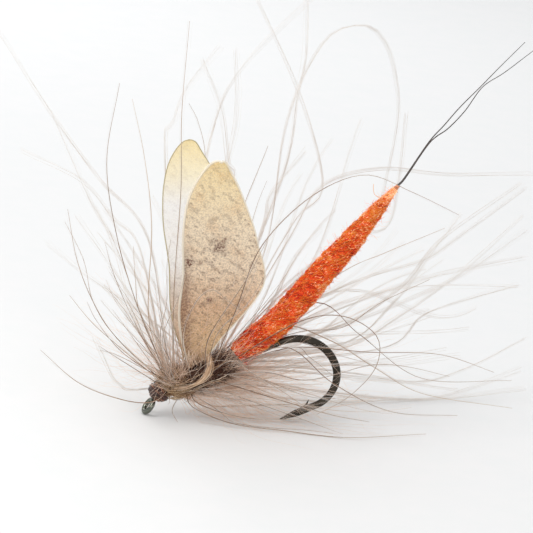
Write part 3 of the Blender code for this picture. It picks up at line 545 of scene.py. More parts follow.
class Look(Nodes):
    """A material with a Principled shader, and short ways to add its nodes."""

    def __init__(self, name, colour, roughness, **values):
        self.material = bpy.data.materials.new(name)
        super().__init__(self.material)
        self.material.diffuse_color = colour
        self.shader = self.nodes["Principled BSDF"]
        for socket, value in {"Base Color": colour, "Roughness": roughness, **values}.items():
            self.shader.inputs[socket.replace("_", " ")].default_value = value

    def place(self):
        """Object coordinates in millimetres."""
        coordinates = self.node("ShaderNodeTexCoord")
        return self.vector("SCALE", coordinates.outputs["Object"], 1.0 / MM)

    def vector(self, operation, one, two):
        """A vector result, or a plain number for a dot product or a distance."""
        values = {0: one, "Scale" if operation == "SCALE" else 1: two}
        made = self.node("ShaderNodeVectorMath", values, operation=operation)
        return made.outputs["Value" if operation in ("DOT_PRODUCT", "DISTANCE") else "Vector"]

    def pair(self, one, two):
        """A flat vector from two numbers."""
        return self.node("ShaderNodeCombineXYZ", {0: one, 1: two}).outputs[0]

    def number(self, operation, *values):
        return self.node("ShaderNodeMath", dict(enumerate(values)), operation=operation).outputs[0]

    def times(self, one, two):
        return self.number("MULTIPLY", one, two)

    def scaled(self, value, factor, extra):
        return self.number("MULTIPLY_ADD", value, factor, extra)

    def noise(self, place, scale, detail=3.0, roughness=0.55):
        values = {"Vector": place, "Scale": scale, "Detail": detail, "Roughness": roughness}
        return self.node("ShaderNodeTexNoise", values).outputs["Fac"]

    def cells(self, place, scale, output):
        return self.node("ShaderNodeTexVoronoi", {"Vector": place, "Scale": scale}).outputs[output]

    def mix(self, share, one, two, blend="MIX"):
        """A mix of two colours, each a colour or an output. 6 and 7 are the node's colour inputs."""
        values = {0: share, 6: one, 7: two}
        return self.node("ShaderNodeMix", values, data_type="RGBA", blend_type=blend).outputs[2]

    def ramp(self, value, stops):
        """A colour from a number. stops are places from 0 to 1 with colours from 0 to 255."""
        made = self.node("ShaderNodeValToRGB", {"Fac": value})
        points = made.color_ramp.elements
        while len(points) < len(stops):
            points.new(0.5)
        for point, (place, colour) in zip(points, stops):
            point.position = place
            point.color = srgb(*colour)
        return made.outputs["Color"]

    def colour(self, socket):
        self.feed(self.shader.inputs["Base Color"], socket)

    def blend_with(self, kind, share):
        """Mixes a share of a second shader over the first, and gives that shader."""
        second = self.node(kind)
        values = {0: share, 1: self.shader.outputs[0], 2: second.outputs[0]}
        mixer = self.node("ShaderNodeMixShader", values)
        self.feed(self.nodes["Material Output"].inputs["Surface"], mixer.outputs[0])
        return second

    def bump(self, height, strength, distance):
        values = {"Height": height, "Strength": strength, "Distance": distance * MM}
        self.feed(self.shader.inputs["Normal"], self.node("ShaderNodeBump", values).outputs["Normal"])


def palette(name, roots, tips, roughness=0.55, gloss=0.35, glow=0.0):
    """Fibre materials: for each tone, its root, its middle and its tip. glow makes them glow in their own
    colour, a painted light.
    """
    made = []
    for tone, (root, tip) in enumerate(zip(roots, tips)):
        for zone, share in enumerate((0.0, 0.45, 0.9)):
            colour = srgb(*[a + (b - a) * share for a, b in zip(root, tip)])
            look = Look(f"{name}_{tone}_{zone}", colour, roughness, Specular_IOR_Level=gloss,
                        Emission_Color=colour, Emission_Strength=glow)
            made.append(look.material)
    return made


def steel_look():
    """Bronzed wire, worn to bare steel round the eye."""
    look = Look("bronzed_wire", srgb(70, 64, 54), 0.26, Metallic=1.0)
    place = look.place()
    worn = look.step(look.vector("DISTANCE", place, (0.0, 0.0, 0.0)), 1.3, 0.6)
    cloud = look.noise(place, 1.4, 4.0)
    fine = look.noise(place, 22.0, 2.0)
    bronze = look.ramp(cloud, [(0.3, (56, 52, 47)), (0.55, (70, 65, 58)), (0.8, (90, 83, 74))])
    look.colour(look.mix(worn, bronze, srgb(112, 116, 106)))
    rough = look.number("SUBTRACT", look.scaled(fine, 0.20, 0.24), look.times(worn, 0.16))
    look.feed(look.shader.inputs["Roughness"], rough)
    look.bump(fine, 0.12, 0.02)
    return look.material


def grained_look(name, colour, roughness, gloss, cloud, grain, share, stops, relief):
    """Colours from slow clouds and fine grain, of which grain is a share, with the grain raised.

    cloud and grain are the scale, detail and roughness of a noise, relief a strength and a height.
    """
    look = Look(name, srgb(*colour), roughness, Specular_IOR_Level=gloss)
    place = look.place()
    clouds = look.noise(place, *cloud)
    grains = look.noise(place, *grain)
    tone = look.number("ADD", look.times(clouds, 1 - share), look.times(grains, share))
    look.colour(look.ramp(tone, stops))
    look.bump(grains, *relief)
    return look.material


def thread_look(name, dark, light, roughness=0.42):
    stops = [(0.35, dark), (0.65, light)]
    return grained_look(name, light, roughness, 0.6, (3.0, 4.0), (40.0, 2.0), 0.3, stops, (0.4, 0.02))


def thorax_look():
    """The matted ground under the loose fur."""
    stops = [(0.36, (42, 22, 16)), (0.5, (72, 44, 34)), (0.64, (118, 84, 66))]
    return grained_look("thorax_ground", (72, 44, 34), 0.9, 0.2, (2.2, 5.0, 0.7), (14.0, 4.0, 0.7),
                        0.5, stops, (0.9, 0.08))


def dubbing_look():
    """The matted ground under the orange fibres."""
    stops = [(0.34, (140, 18, 6)), (0.46, (216, 46, 14)), (0.56, (254, 100, 42)), (0.68, (255, 156, 92))]
    return grained_look("orange_dubbing", (222, 96, 58), 0.8, 0.3, (1.6, 4.0, 0.65), (16.0, 3.0, 0.65),
                        0.55, stops, (0.8, 0.06))


def film_ground(look, hand, flat, height):
    """The film's colour by height, with warm clouds and pale glitter. The far (right) wing's paler, less
    clouded ground is painted light from behind.
    """
    ground = look.ramp(look.number("DIVIDE", height, WING_TOP), WING_GROUND[hand])
    clouds = look.step(look.noise(flat, 0.6, 4.0, 0.6), 0.45, 0.7)
    clouds = look.times(clouds, 0.3 if hand == "left" else 0.05)
    ground = look.mix(clouds, ground, srgb(228, 196, 158), "MULTIPLY")
    glitter = look.step(look.noise(flat, 10.0, 2.0, 0.7), 0.5, 0.66)
    return look.mix(look.times(glitter, 0.35), ground, srgb(255, 248, 232))


def film_marks(look, flat):
    """Slanted mottling and dots, and fine grain, as a share of full dark."""
    along = look.vector("DOT_PRODUCT", flat, (0.46, -0.34, 0.0))
    slanted = look.pair(along, look.vector("DOT_PRODUCT", flat, (0.6, 0.8, 0.0)))
    mottle = look.step(look.noise(slanted, 2.3, 2.0, 0.5), 0.50, 0.66)
    grain = look.step(look.noise(flat, 7.0, 3.0, 0.8), 0.42, 0.62)
    near = look.step(look.cells(slanted, 3.3, "Distance"), 0.46, 0.12)
    chance = look.node("ShaderNodeSeparateColor", {0: look.cells(slanted, 3.3, "Color")}).outputs[0]
    dots = look.times(near, look.step(chance, 0.35, 0.85))
    marks = look.number("MAXIMUM", look.times(mottle, 0.34), look.times(dots, 0.46))
    return look.number("ADD", look.times(marks, 0.95), look.times(grain, 0.42))


def near_wing_marks(look, flat, across, height, marks):
    """Adds the dark streak along the lower leading edge of the near wing, and its blots."""
    rough = look.times(look.number("SUBTRACT", look.noise(flat, 3.6, 3.0, 0.75), 0.5), 2.2)
    specks = look.step(look.noise(flat, 6.0, 3.0, 0.7), 0.42, 0.56)
    edge = look.number("ADD", across, look.scaled(height, 0.22, 0.9))
    stripe = look.step(look.number("ADD", edge, rough), 1.2, 0.1)
    stripe = look.times(stripe, look.step(height, 11.5, 7.5))
    stripe = look.times(stripe, look.scaled(specks, 0.35, 0.5))
    marks = look.number("MAXIMUM", marks, stripe)
    for centre, size, depth in WING_BLOTS:
        far = look.vector("DISTANCE", flat, (*centre, 0.0))
        far = look.number("ADD", far, look.times(rough, size * 0.8))
        spot = look.times(look.step(far, size * 1.35, size * 0.2), depth)
        spot = look.times(spot, look.scaled(specks, 0.8, 0.55))
        marks = look.number("MAXIMUM", marks, spot)
    return marks


def wing_look(hand):
    """Speckled film. The pattern lies in the wing's own plane, in millimetres from its foot."""
    foot, up, lead = wing_axes(hand)
    look = Look(f"{hand}_wing_film", srgb(222, 200, 166), 0.55, Specular_IOR_Level=0.3)
    place = look.vector("SUBTRACT", look.place(), tuple(foot))
    across = look.vector("DOT_PRODUCT", place, tuple(lead))
    height = look.vector("DOT_PRODUCT", place, tuple(up))
    flat = look.pair(across, height)
    marks = film_marks(look, flat)
    if hand == "left":
        marks = near_wing_marks(look, flat, across, height, marks)
        strength = look.scaled(look.step(height, 16.0, 9.0), 0.35, 0.60)
    else:
        # the far wing's fainter marks go with its painted backlight
        strength = look.scaled(look.step(height, 9.0, 3.0), 0.35, 0.25)
    marks = look.times(marks, strength)
    film = look.mix(marks, film_ground(look, hand, flat, height), srgb(114, 80, 68))
    look.colour(film)
    relief = look.number("SUBTRACT", look.noise(flat, 1.6, 5.0, 0.65), look.times(marks, 0.3))
    look.bump(relief, 0.6, 0.16)
    see = look.blend_with("ShaderNodeBsdfTranslucent", 0.4 if hand == "left" else 0.6)
    look.feed(see.inputs["Color"], film)
    return look.material


def rim_look(name, colour, clear):
    """The margin of a wing, partly clear."""
    look = Look(name, srgb(*colour), 0.5, Specular_IOR_Level=0.4)
    look.blend_with("ShaderNodeBsdfTransparent", clear)
    return look.material


# ------------------------------------------------------------------ hook


def turn_arc(centre, radius, first, last, count):
    """Points on an arc in the hook's plane, from degrees."""
    angle = np.radians(np.linspace(first, last, count))
    return np.stack([centre[0] + radius * np.cos(angle), centre[1] + radius * np.sin(angle)], axis=1)


def neck_path():
    """The wire's centre line as (s, t), from the shank down to the eye."""
    half = NECK_FILLET * math.tan(EYE_DOWN / 2)
    corner = EYE_DROP / math.tan(EYE_DOWN)
    centre = (corner + half, EYE_DROP - NECK_FILLET)
    bend = turn_arc(centre, NECK_FILLET, 90.0, 90.0 + math.degrees(EYE_DOWN), 14)
    way = np.array([math.cos(EYE_DOWN), math.sin(EYE_DOWN)])
    run = [way * reach for reach in np.linspace(1.2, EYE_RING_RADIUS + 0.02, 8)]
    return np.vstack([[(corner + half + 0.25, EYE_DROP)], bend, run])


def hook_centre_line():
    """(s, t, radius in the hook's plane, radius across) from the point to the eye."""
    rows = []
    for u in shares(18):
        radius = POINT_RADIUS + (WIRE_RADIUS - POINT_RADIUS) * u ** 0.72
        rows.append((POINT_S + POINT_LENGTH * u, LEG_T + 0.04 * (1 - u), radius, radius))
    lower_s = BEND_S + UPPER_BEND - LOWER_BEND
    for s in np.linspace(POINT_S + POINT_LENGTH, lower_s, 12)[1:]:
        rows.append((s, LEG_T, WIRE_RADIUS, WIRE_RADIUS))
    lower = turn_arc((lower_s, LEG_T + LOWER_BEND), LOWER_BEND, -90.0, 0.0, 30)
    rise = math.degrees(math.asin((LEG_T + LOWER_BEND - EYE_DROP + UPPER_BEND) / UPPER_BEND))
    upper = turn_arc((BEND_S, EYE_DROP - UPPER_BEND), UPPER_BEND, rise, 90.0, 40)
    bend = np.vstack([lower[1:], upper[1:]])
    for k, (s, t) in enumerate(bend):
        forged = min(1.0, 4 * k / len(bend), 4 * (len(bend) - 1 - k) / len(bend))
        rows.append((s, t, WIRE_RADIUS + (FORGED_IN_PLANE - WIRE_RADIUS) * forged,
                     WIRE_RADIUS + (FORGED_ACROSS - WIRE_RADIUS) * forged))
    for s in np.linspace(BEND_S, 2.6, 26)[1:]:
        rows.append((s, EYE_DROP, WIRE_RADIUS, WIRE_RADIUS))
    neck = neck_path()
    for k, (s, t) in enumerate(neck):
        radius = WIRE_RADIUS + (EYE_WIRE_RADIUS - WIRE_RADIUS) * k / (len(neck) - 1)
        rows.append((s, t, radius, radius))
    return np.array(rows)


def hook_wire():
    """Rings of points round the wire, flattened where the bend is forged."""
    rows = hook_centre_line()
    path = rows[:, :1] * SHANK + rows[:, 1:2] * RISE
    inward = unit(np.cross(np.gradient(path, axis=0), ACROSS))
    angle = circle(28)
    out = (inward[:, None] * (np.cos(angle) * rows[:, 2:3])[..., None]
           + ACROSS * (np.sin(angle) * rows[:, 3:4])[..., None])
    wire = path[:, None] + out
    wire[0] = path[0] + (wire[0] - path[0]) * 0.02
    return wire


def eye_ring():
    way = -(SHANK * math.cos(EYE_DOWN) + RISE * math.sin(EYE_DOWN))
    ring = around(way, ACROSS, np.linspace(0.0, 2 * math.pi, 65)) * EYE_RING_RADIUS
    radii = np.full((1, len(ring)), EYE_WIRE_RADIUS)
    return rings(ring[None], radii, 20, tuple(np.cross(way, ACROSS)))[0]


def barb():
    marks = [(BARB_START_S, 0.16), (BARB_START_S + 0.35, 0.30), (BARB_TIP_S, 0.68)]
    line = curve([at(s, LEG_T + above) for s, above in marks], 14)
    return rings(line[None], np.linspace(0.16, POINT_RADIUS, len(line))[None], 16)[0]


def build_hook(material):
    """Wire, ring eye and barb, gathered into one piece."""
    points, quads, total = [], [], 0
    for grid in (hook_wire(), eye_ring(), barb()):
        steps, sides, _ = grid.shape
        points.append(grid.reshape(-1, 3))
        quads.append(ring_faces(1, steps, sides) + total)
        total += steps * sides
    piece = make_piece("hook_steel", np.vstack(points), np.vstack(quads), [material])
    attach(piece, "hook_body")
    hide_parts("hook")


# ------------------------------------------------------------------ windings and head


def winding(centre, radii, turns, thread, phase, wobble):
    """The path of a thread wound round a line."""
    count = int(abs(turns) * 22) + 2
    line = curve(centre, count)
    u = shares(count)
    radius = np.interp(u, shares(len(radii)), radii) + thread * 0.4
    side, second = turning(line[None], tuple(ACROSS))
    angle = 2 * math.pi * turns * u + phase
    reach = radius + wobble * np.sin(angle * 0.37 + phase) * np.sin(angle * 1.7)
    return line + around(side[0], second[0], angle) * reach[:, None]


def sleeve_of(name, centre, radii, material, sides=48, rough=0.05, steps=60):
    """A closed, slightly uneven body of revolution round a line."""
    line = curve(centre, steps)
    u = shares(steps)
    radius = np.interp(u, shares(len(radii)), radii)
    radius[0] = radius[-1] = 0.01
    points = rings(line[None], radius[None], sides, tuple(ACROSS))[0]
    lumps = sum(np.sin(a * circle(sides)[None] + b * u[:, None] * 9.0 + c)
                for a, b, c in ((1, 2.1, 0.4), (2, 3.3, 1.9), (3, -2.7, 4.0), (5, 4.9, 2.2)))
    out = points - line[:, None]
    points = points + out * (rough * lumps)[..., None] / np.maximum(radius, 0.05)[:, None, None]
    return make_piece(name, points, ring_faces(1, steps, sides), [material])


def build_head(dark, rust):
    """The thread head with its crossing turns, and the finishing turns behind the eye."""
    neck = neck_path()
    line = [at(s, t) for s, t in neck[3:19:3]]
    shape = [0.30, 0.66, 0.76, 0.80, 0.80, 0.76, 0.62]
    base = sleeve_of("head_ground", line, shape, dark, rough=0.012)
    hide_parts("head_wraps")
    under = [radius - 0.03 for radius in shape[1:]]
    end = [at(s, t) for s, t in neck[17:21]]
    strands = Strands("head_turns", [dark] * 3 + [rust] * 3, sides=6)
    for turns, phase, tone in ((8.5, 0.0, 0), (-6.5, 2.0, 0), (4.5, 4.0, 0), (-3.5, 1.0, 1)):
        strands.add_one(winding(line, under, turns, 0.07, phase, 0.06), 0.066, tone)
    for turns, phase, tone in ((5.0, 0.5, 1), (4.0, 3.0, 0)):
        strands.add_one(winding(end, [0.62, 0.50, 0.36], turns, 0.05, phase, 0.02), 0.05, tone)
    turns = strands.build()
    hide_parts("whip_finish")
    for piece in (base, turns):
        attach(piece, "hook_body")


# ------------------------------------------------------------------ thorax and hackle


def thorax_fluff(fur):
    """Short fur in every direction, and longer fibres laid along the thorax."""
    fluff = Strands("thorax_fluff", fur)
    roots, out = thorax_places(2300, (2.7, 7.3), (-180, 180), 0.2)
    start = out * 0.7 + rng.normal(0.0, 0.9, out.shape)
    end = out * 0.1 + rng.normal(0.0, 1.0, out.shape)
    length = rng.gamma(3.0, 0.15, len(roots)) + 0.25
    radii = taper(rng.uniform(0.014, 0.028, len(roots)), 8)
    add_fuzz(fluff, roots, start, end, length, radii, (0.42, 0.38, 0.20), 0.5)
    lay_fibres(fluff, 150, (3.2, 7.2), (2.6, 5.6), (-180, 180), 34.0, (0.018, 0.034), (0.45, 0.35, 0.20))
    return fluff.build()


def collar_tuft(tuft):
    """Golden fur behind the head, which leans forward and up."""
    golden = Strands("collar_tuft", tuft)
    roots, out = thorax_places(620, (1.45, 3.0), (-130, 130), 0.25)
    start = out + RISE * 0.5 + rng.normal(0.0, 0.3, out.shape) - SHANK * 0.35
    end = out * 0.6 + RISE * 0.6 + rng.normal(0.0, 0.6, out.shape) - SHANK * 0.3
    radii = taper(rng.uniform(0.015, 0.030, len(roots)), 9)
    add_fuzz(golden, roots, start, end, rng.uniform(0.4, 1.3, len(roots)), radii, EVEN, 0.35)
    lay_fibres(golden, 110, (2.4, 3.8), (1.4, 2.2), (-170, 170), 30.0, (0.018, 0.036), (0.35, 0.4, 0.25))
    return golden.build()


def wing_barbs(barbs):
    """Pale fibres laid along the thorax, bundled round each stem, and upright at each wing's foot."""
    pale = Strands("wing_root_barbs", barbs, sides=5)
    for roll in ((-125, -55), (55, 125)):
        lay_fibres(pale, 6, (4.2, 6.4), (1.7, 2.6), roll, 16.0, (0.022, 0.044), EVEN, (0.05, 0.24), 20)
    u = shares(22)[None, :, None]
    for side in SIDES.values():
        quill = curve([at(s, t, side * y) for s, t, y in STEM_MARKS], 22)
        scatter = rng.normal(0.0, 0.085, (30, 2, 1, 3))
        bundle = quill[None] + scatter[:, 0] * (1.1 - 0.5 * u) + scatter[:, 1] * np.sin(5 * u)
        pale.scatter(bundle, taper(rng.uniform(0.018, 0.036, 30), 22), (0.4, 0.35, 0.25))
        roots = np.array([at(s, 1.9 + 0.2 * rng.random(), side * rng.uniform(0.35, 0.75))
                          for s in rng.uniform(3.7, 5.3, 60)])
        up = RISE * 1.0 + ACROSS * side * 0.25
        start = up + rng.normal(0.0, 0.25, roots.shape)
        end = up + rng.normal(0.0, 0.35, roots.shape)
        radii = taper(rng.uniform(0.016, 0.032, 60), 9)
        add_fuzz(pale, roots, start, end, rng.uniform(0.6, 1.9, 60), radii, (0.5, 0.3, 0.2), 0.2)
    return pale.build()


def build_thorax(ground, fur, tuft, barbs):
    """The matted ground, the fur over it, the collar behind the head and the pale barbs."""
    inner = [radius - 0.12 for _, radius in THORAX_PROFILE[2:]]
    centre = [at(s, EYE_DROP) for s in (2.0, 7.25)]
    body = sleeve_of("thorax_ground", centre, inner, ground, sides=64, steps=90)
    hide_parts("thread_base", "thorax_front", "wing_wraps", "thorax_rear")
    fluff = thorax_fluff(fur)
    centre = [at(s, EYE_DROP) for s in (1.5, 2.6)]
    collar = sleeve_of("collar_ground", centre, [0.5, 0.75, 0.9, 0.9], ground)
    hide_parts("collar_dubbing")
    golden = collar_tuft(tuft)
    pale = wing_barbs(barbs)
    for piece in (body, fluff, collar, golden, pale):
        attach(piece, "hook_body")


def build_stems(material):
    for hand, sign in SIDES.items():
        path = curve([at(s, t, sign * y) for s, t, y in STEM_MARKS], 60)
        u = shares(60)
        radii = STEM_RADIUS * (0.6 + 0.3 * np.minimum(1.0, 3 * u)) * (1 - 0.7 * u)
        piece = tube(f"{hand}_stem_quill", path, radii * (1 + 0.05 * np.sin(31 * u)), 20, material)
        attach(piece, "hook_body")
        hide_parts(f"{hand}_wing_stem")


def build_hackle(brown, pale, haze):
    """Guard hairs singly and in sprays, soft locks round and behind them, and fine fur between."""
    guard = Strands("hackle_guard", brown, sides=6)
    distant = Strands("hackle_distant", pale)
    fine = Strands("hackle_underfur", haze, sides=3)

    sharp = hair_paths(SHARP_HAIRS)
    radii = taper([row[2] for row in SHARP_HAIRS], HAIR_STEPS, 0.35)
    guard.scatter(lift(sharp, radii), radii, (0.6, 0.3, 0.1))
    add_locks(distant, sharp, 3, 0.07, NEAR_LOCK)
    for paths in [spray_paths(*row) for row in GUARD_SPRAYS]:
        add_fibres(guard, paths, (0.014, 0.024), EVEN)
        add_locks(distant, paths, 3, 0.07, NEAR_LOCK)
    add_locks(distant, hair_paths(FAR_HAIRS, 1.8), 9, 0.10, (0.010, 0.016))
    for paths in [spray_paths(*row) for row in FAR_SPRAYS]:
        add_locks(distant, paths, 7, 0.09, (0.009, 0.015))
    for *row, radius, tones in FINE_FUR:
        add_fibres(fine, spray_paths(*row), radius, tones)

    nodes = [name for name in frame["nodes"] if name.startswith("hackle_")]
    pieces = [strands.build() for strands in (guard, distant, fine)]
    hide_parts(*nodes)
    for piece in pieces:
        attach(piece, "hook_body")


# ------------------------------------------------------------------ standing body and tails


def body_bump(length, angle):
    """The uneven twist of the dubbing, as a share of full height."""
    twist = np.cos(2 * math.pi * length / 0.62 - angle + 1.3 * np.sin(0.9 * length + angle))
    slow = np.sin(1.3 * length + 0.7) * np.sin(2 * angle + 0.9 * length)
    lump = np.sin(3.9 * length - 2 * angle + 1.0) * np.sin(2.3 * length + 3 * angle)
    return 0.4 * twist + 1.1 * slow + 1.1 * lump


class Body:
    """The standing body: its line, its radius, two directions across it, and places on its skin."""

    def __init__(self, count=300):
        rows = curve(BODY_LINE, count)
        self.count = count
        self.line = np.stack([rows[:, 0], np.zeros(count), rows[:, 1]], axis=1)
        self.radius = rows[:, 2]
        side, second = turning(self.line[None], tuple(ACROSS))
        self.side, self.second = side[0], second[0]
        self.step = np.linalg.norm(self.line[1] - self.line[0])
        self.total = (count - 1) * self.step

    def reach(self, radius, length, angle):
        """How far the skin stands from the line."""
        return radius * 0.97 + 0.04 * body_bump(length, angle) * np.minimum(1.0, radius * 2)

    def skin(self, material, sides=72):
        angle = circle(sides)[None]
        reach = self.reach(self.radius[:, None], np.arange(self.count)[:, None] * self.step, angle)
        reach[0] = reach[-1] = 0.01
        out = around(self.side[:, None], self.second[:, None], angle)
        points = self.line[:, None] + out * reach[..., None]
        return make_piece("body_dubbing", points, ring_faces(1, self.count, sides), [material])

    def place(self, along, turn, above):
        """Places over the skin, from length along the body, angle round it and height above it."""
        spot = np.clip(along / self.step, 0, self.count - 1.001)
        low = spot.astype(int)
        part = (spot - low)[..., None]
        frames = (self.line, self.side, self.second, self.radius[:, None])
        centre, one, two, radius = (rows[low] * (1 - part) + rows[low + 1] * part for rows in frames)
        away = self.reach(radius[..., 0], along, turn) + above
        return centre + around(one, two, turn) * away[..., None]

    def tones(self, start, turn, tone, lightest):
        """A tone for each laid fibre, by twist, streak and band, and lighter towards the tip, where the
        glowing glint tone, a painted highlight, may be picked too.
        """
        streak = np.sin(19 * start - 3 * turn) * np.sin(7 * turn + 4 * start)
        band = np.sin(1.15 * start + 1.4 * turn + 2.0) + np.sin(2.7 * start - turn)
        level = tone + 0.35 * body_bump(start, turn) + 0.7 * streak + 0.45 * band
        level = level + rng.normal(0.0, 0.7, len(start))
        share = start / self.total
        level = level + 0.6 * np.clip((share - 0.5) / 0.3, 0.0, 1.0)
        level = level + 2.0 * np.clip((share - 0.88) / 0.1, 0.0, 1.0)
        top = np.where(share > rng.uniform(0.88, 0.98, len(start)), PAINTED_GLINT_TONE, lightest)
        return np.clip(np.round(level), 0, top).astype(int)

    def lay(self, fibres, number, size, slant, lift_by, radius, tone, lightest):
        """Adds fibres wrapped round the body, slant degrees off its line. size is their length."""
        u = shares(9)[None]
        start = rng.uniform(0.0, self.total, (number, 1))
        turn = rng.uniform(0.0, 2 * math.pi, (number, 1))
        size = rng.uniform(*size, (number, 1))
        tilt = np.radians(rng.normal(slant, 24.0, (number, 1)))
        along = np.clip(start + size * np.cos(tilt) * u, 0.0, self.total - 0.02)
        around = np.interp(start, np.arange(self.count) * self.step, self.radius)
        angles = turn + size * np.sin(tilt) * u / np.maximum(around, 0.2)
        above = 0.006 + lift_by * rng.uniform(0.0, 1.0, (number, 1)) * np.sin(math.pi * u * 0.8) ** 2
        radii = taper(rng.uniform(*radius, number), 9)
        tones = self.tones(start[:, 0], turn[:, 0], tone, lightest)
        fibres.add(self.place(along, angles, above), radii, tones)

    def fuzz(self, fibres, number):
        """Adds loose fibres that stand off the body and lean towards its tip."""
        along = rng.uniform(0.0, self.total - 0.1, (number, 1))
        turn = rng.uniform(0.0, 2 * math.pi, (number, 1))
        roots = self.place(along, turn, 0.0)[:, 0]
        out = unit(roots - self.place(along, turn, -0.5)[:, 0])
        ahead = unit(self.line[-1] - self.line[0])
        start = out + rng.normal(0.0, 0.5, out.shape) + ahead * 0.4
        end = rng.normal(0.0, 0.8, out.shape) + ahead * 0.7 + out * 0.3
        radii = taper(rng.uniform(0.007, 0.013, number), 8)
        length = rng.gamma(2.2, 0.16, number) + 0.12
        add_fuzz(fibres, roots, start, end, length, radii, (0.2, 0.4, 0.4, 0.0), 0.35)


def build_body(ground, orange):
    """The dubbed skin and the fibres over it."""
    body = Body()
    skin = body.skin(ground)
    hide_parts("abdomen", "abdomen_root")
    fibres = Strands("body_fibres", orange, sides=3)
    body.lay(fibres, 4200, (0.4, 1.2), 46.0, 0.09, (0.011, 0.027), tone=1.15, lightest=PAINTED_GLINT_TONE - 1)
    # short fibres that may take the glowing glint tone: painted sparkle highlights
    body.lay(fibres, 2500, (0.07, 0.24), 30.0, 0.13, (0.013, 0.027), tone=2.5, lightest=PAINTED_GLINT_TONE)
    body.fuzz(fibres, 1500)
    fibres.add_one(curve(STRAY_FIBRE, 20), 0.02, 2)
    fibres = fibres.build()
    for piece in (skin, fibres):
        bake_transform(piece)


def build_tails(dark, wrap_thread):
    for hand, sign in SIDES.items():
        path = curve([(x, sign * spread, z) for x, z, spread in TAIL_LINE], 90)
        piece = tube(f"{hand}_tail_fibre", path, 0.058 - 0.036 * shares(90), 10, dark)
        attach(piece, "tails")
        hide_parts(f"tail_{hand}")
    way = unit(np.array([1.0, 0.0, 1.45]))
    tip = np.array([17.2, 0.0, 18.45])
    line = [tip - way * 0.55, tip, tip + way * 0.36]
    strands = Strands("tail_wrap_turns", [wrap_thread] * 3, sides=6)
    for turns, phase in ((9.0, 0.0), (-6.0, 2.0)):
        strands.add_one(winding(line, [0.24, 0.17, 0.11], turns, 0.03, phase, 0.02), 0.034)
    piece = strands.build()
    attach(piece, "abdomen_body")
    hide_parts("tail_wraps")


# ------------------------------------------------------------------ wings


def wing_axes(hand):
    """Where the wing's foot is, which way it stands, and which way its width runs."""
    s, t, y = WING_PIVOT
    up = np.array([0.0, SIDES[hand] * math.sin(WING_SPLAY), math.cos(WING_SPLAY)])
    turn = np.array(Matrix.Rotation(-WING_RAKE[hand], 3, "Y"))
    foot = at(s, t, SIDES[hand] * y) + up * 0.12
    return foot, turn @ up, turn @ np.array([1.0, 0.0, 0.0])


def wing_point(hand, height, share):
    """A place on the film, share 0 at the leading edge and 1 at the trailing edge."""
    foot, up, lead = wing_axes(hand)
    outward = np.array([0.0, SIDES[hand] * math.cos(WING_SPLAY), -math.sin(WING_SPLAY)])
    outline = curve(WING_OUTLINE, 400)
    front = np.interp(height, outline[:, 0], outline[:, 1])
    back = np.interp(height, outline[:, 0], outline[:, 2])
    wide = front + (back - front) * share
    cup = WING_CUP * np.sin(math.pi * share) * np.minimum(1.0, height / 4.0)
    ripple = 0.05 * np.sin(1.1 * height + 2.0 * wide) * np.sin(0.7 * wide + 0.5)
    ripple = ripple * np.minimum(1.0, height / 5.0)
    fold = 0.35 * np.clip((share - 0.86) / 0.14, 0.0, 1.0) ** 2 * np.exp(-((height - 5.0) / 2.4) ** 2)
    reach = cup + ripple + (fold if hand == "left" else 0.0)
    return foot + wide[..., None] * lead + height[..., None] * up + reach[..., None] * outward


def build_wing(hand, film, rim, rim_size):
    """The film of one wing, and a round rim along its edge that thins behind the top."""
    rise = WING_TOP * np.sin(shares(130) * math.pi / 2) ** 1.05
    height, share = np.meshgrid(rise, shares(46), indexing="ij")
    points = wing_point(hand, height, share)
    rows, columns = height.shape
    r, c = np.meshgrid(np.arange(rows - 1), np.arange(columns - 1), indexing="ij")
    base = (r * columns + c).ravel()
    quads = np.stack([base, base + 1, base + columns + 1, base + columns], axis=1)
    sheet = make_piece(f"{hand}_wing_film", points, quads, [film])
    edge = np.concatenate([points[:, 0], points[-1, 1:], points[::-1, -1]])
    edge = curve(edge, 240)
    thick = rim_size * (0.10 - 0.035 * np.clip((shares(240) - 0.5) / 0.2, 0.0, 1.0))
    border = Strands(f"{hand}_wing_rim", [rim] * 3, sides=8)
    border.add_one(edge, thick)
    border = border.build()
    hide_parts(f"{hand}_wing")
    for piece in (sheet, border):
        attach(piece, f"{hand}_wing_body")


# ------------------------------------------------------------------ stage, light and camera


def build_stage():
    low, high = -FLOOR_HALF, FLOOR_HALF
    corners = np.array([(x, y, FLOOR_Z) for x, y in ((low, low), (high, low), (high, high), (low, high))])
    look = Look("paper_floor", srgb(223, 224, 224), 0.9, Specular_IOR_Level=0.1)
    grain = look.noise(look.place(), 0.4, 3.0)
    look.colour(look.ramp(grain, [(0.3, (222, 223, 223)), (0.7, (224, 224, 224))]))
    floor = make_piece("paper_floor", corners, np.array([[0, 1, 2, 3]]), [look.material])


def area_light(name, place, target, size, power, colour):
    data = bpy.data.lights.new(name, "AREA")
    data.shape = "DISK"
    data.size = size * MM
    data.energy = power
    data.color = colour
    lamp = bpy.data.objects.new(name, data)
    lamp.location = Vector(place) * MM
    lamp.rotation_euler = (Vector(target) - Vector(place)).to_track_quat("-Z", "Y").to_euler()
    bpy.context.scene.collection.objects.link(lamp)


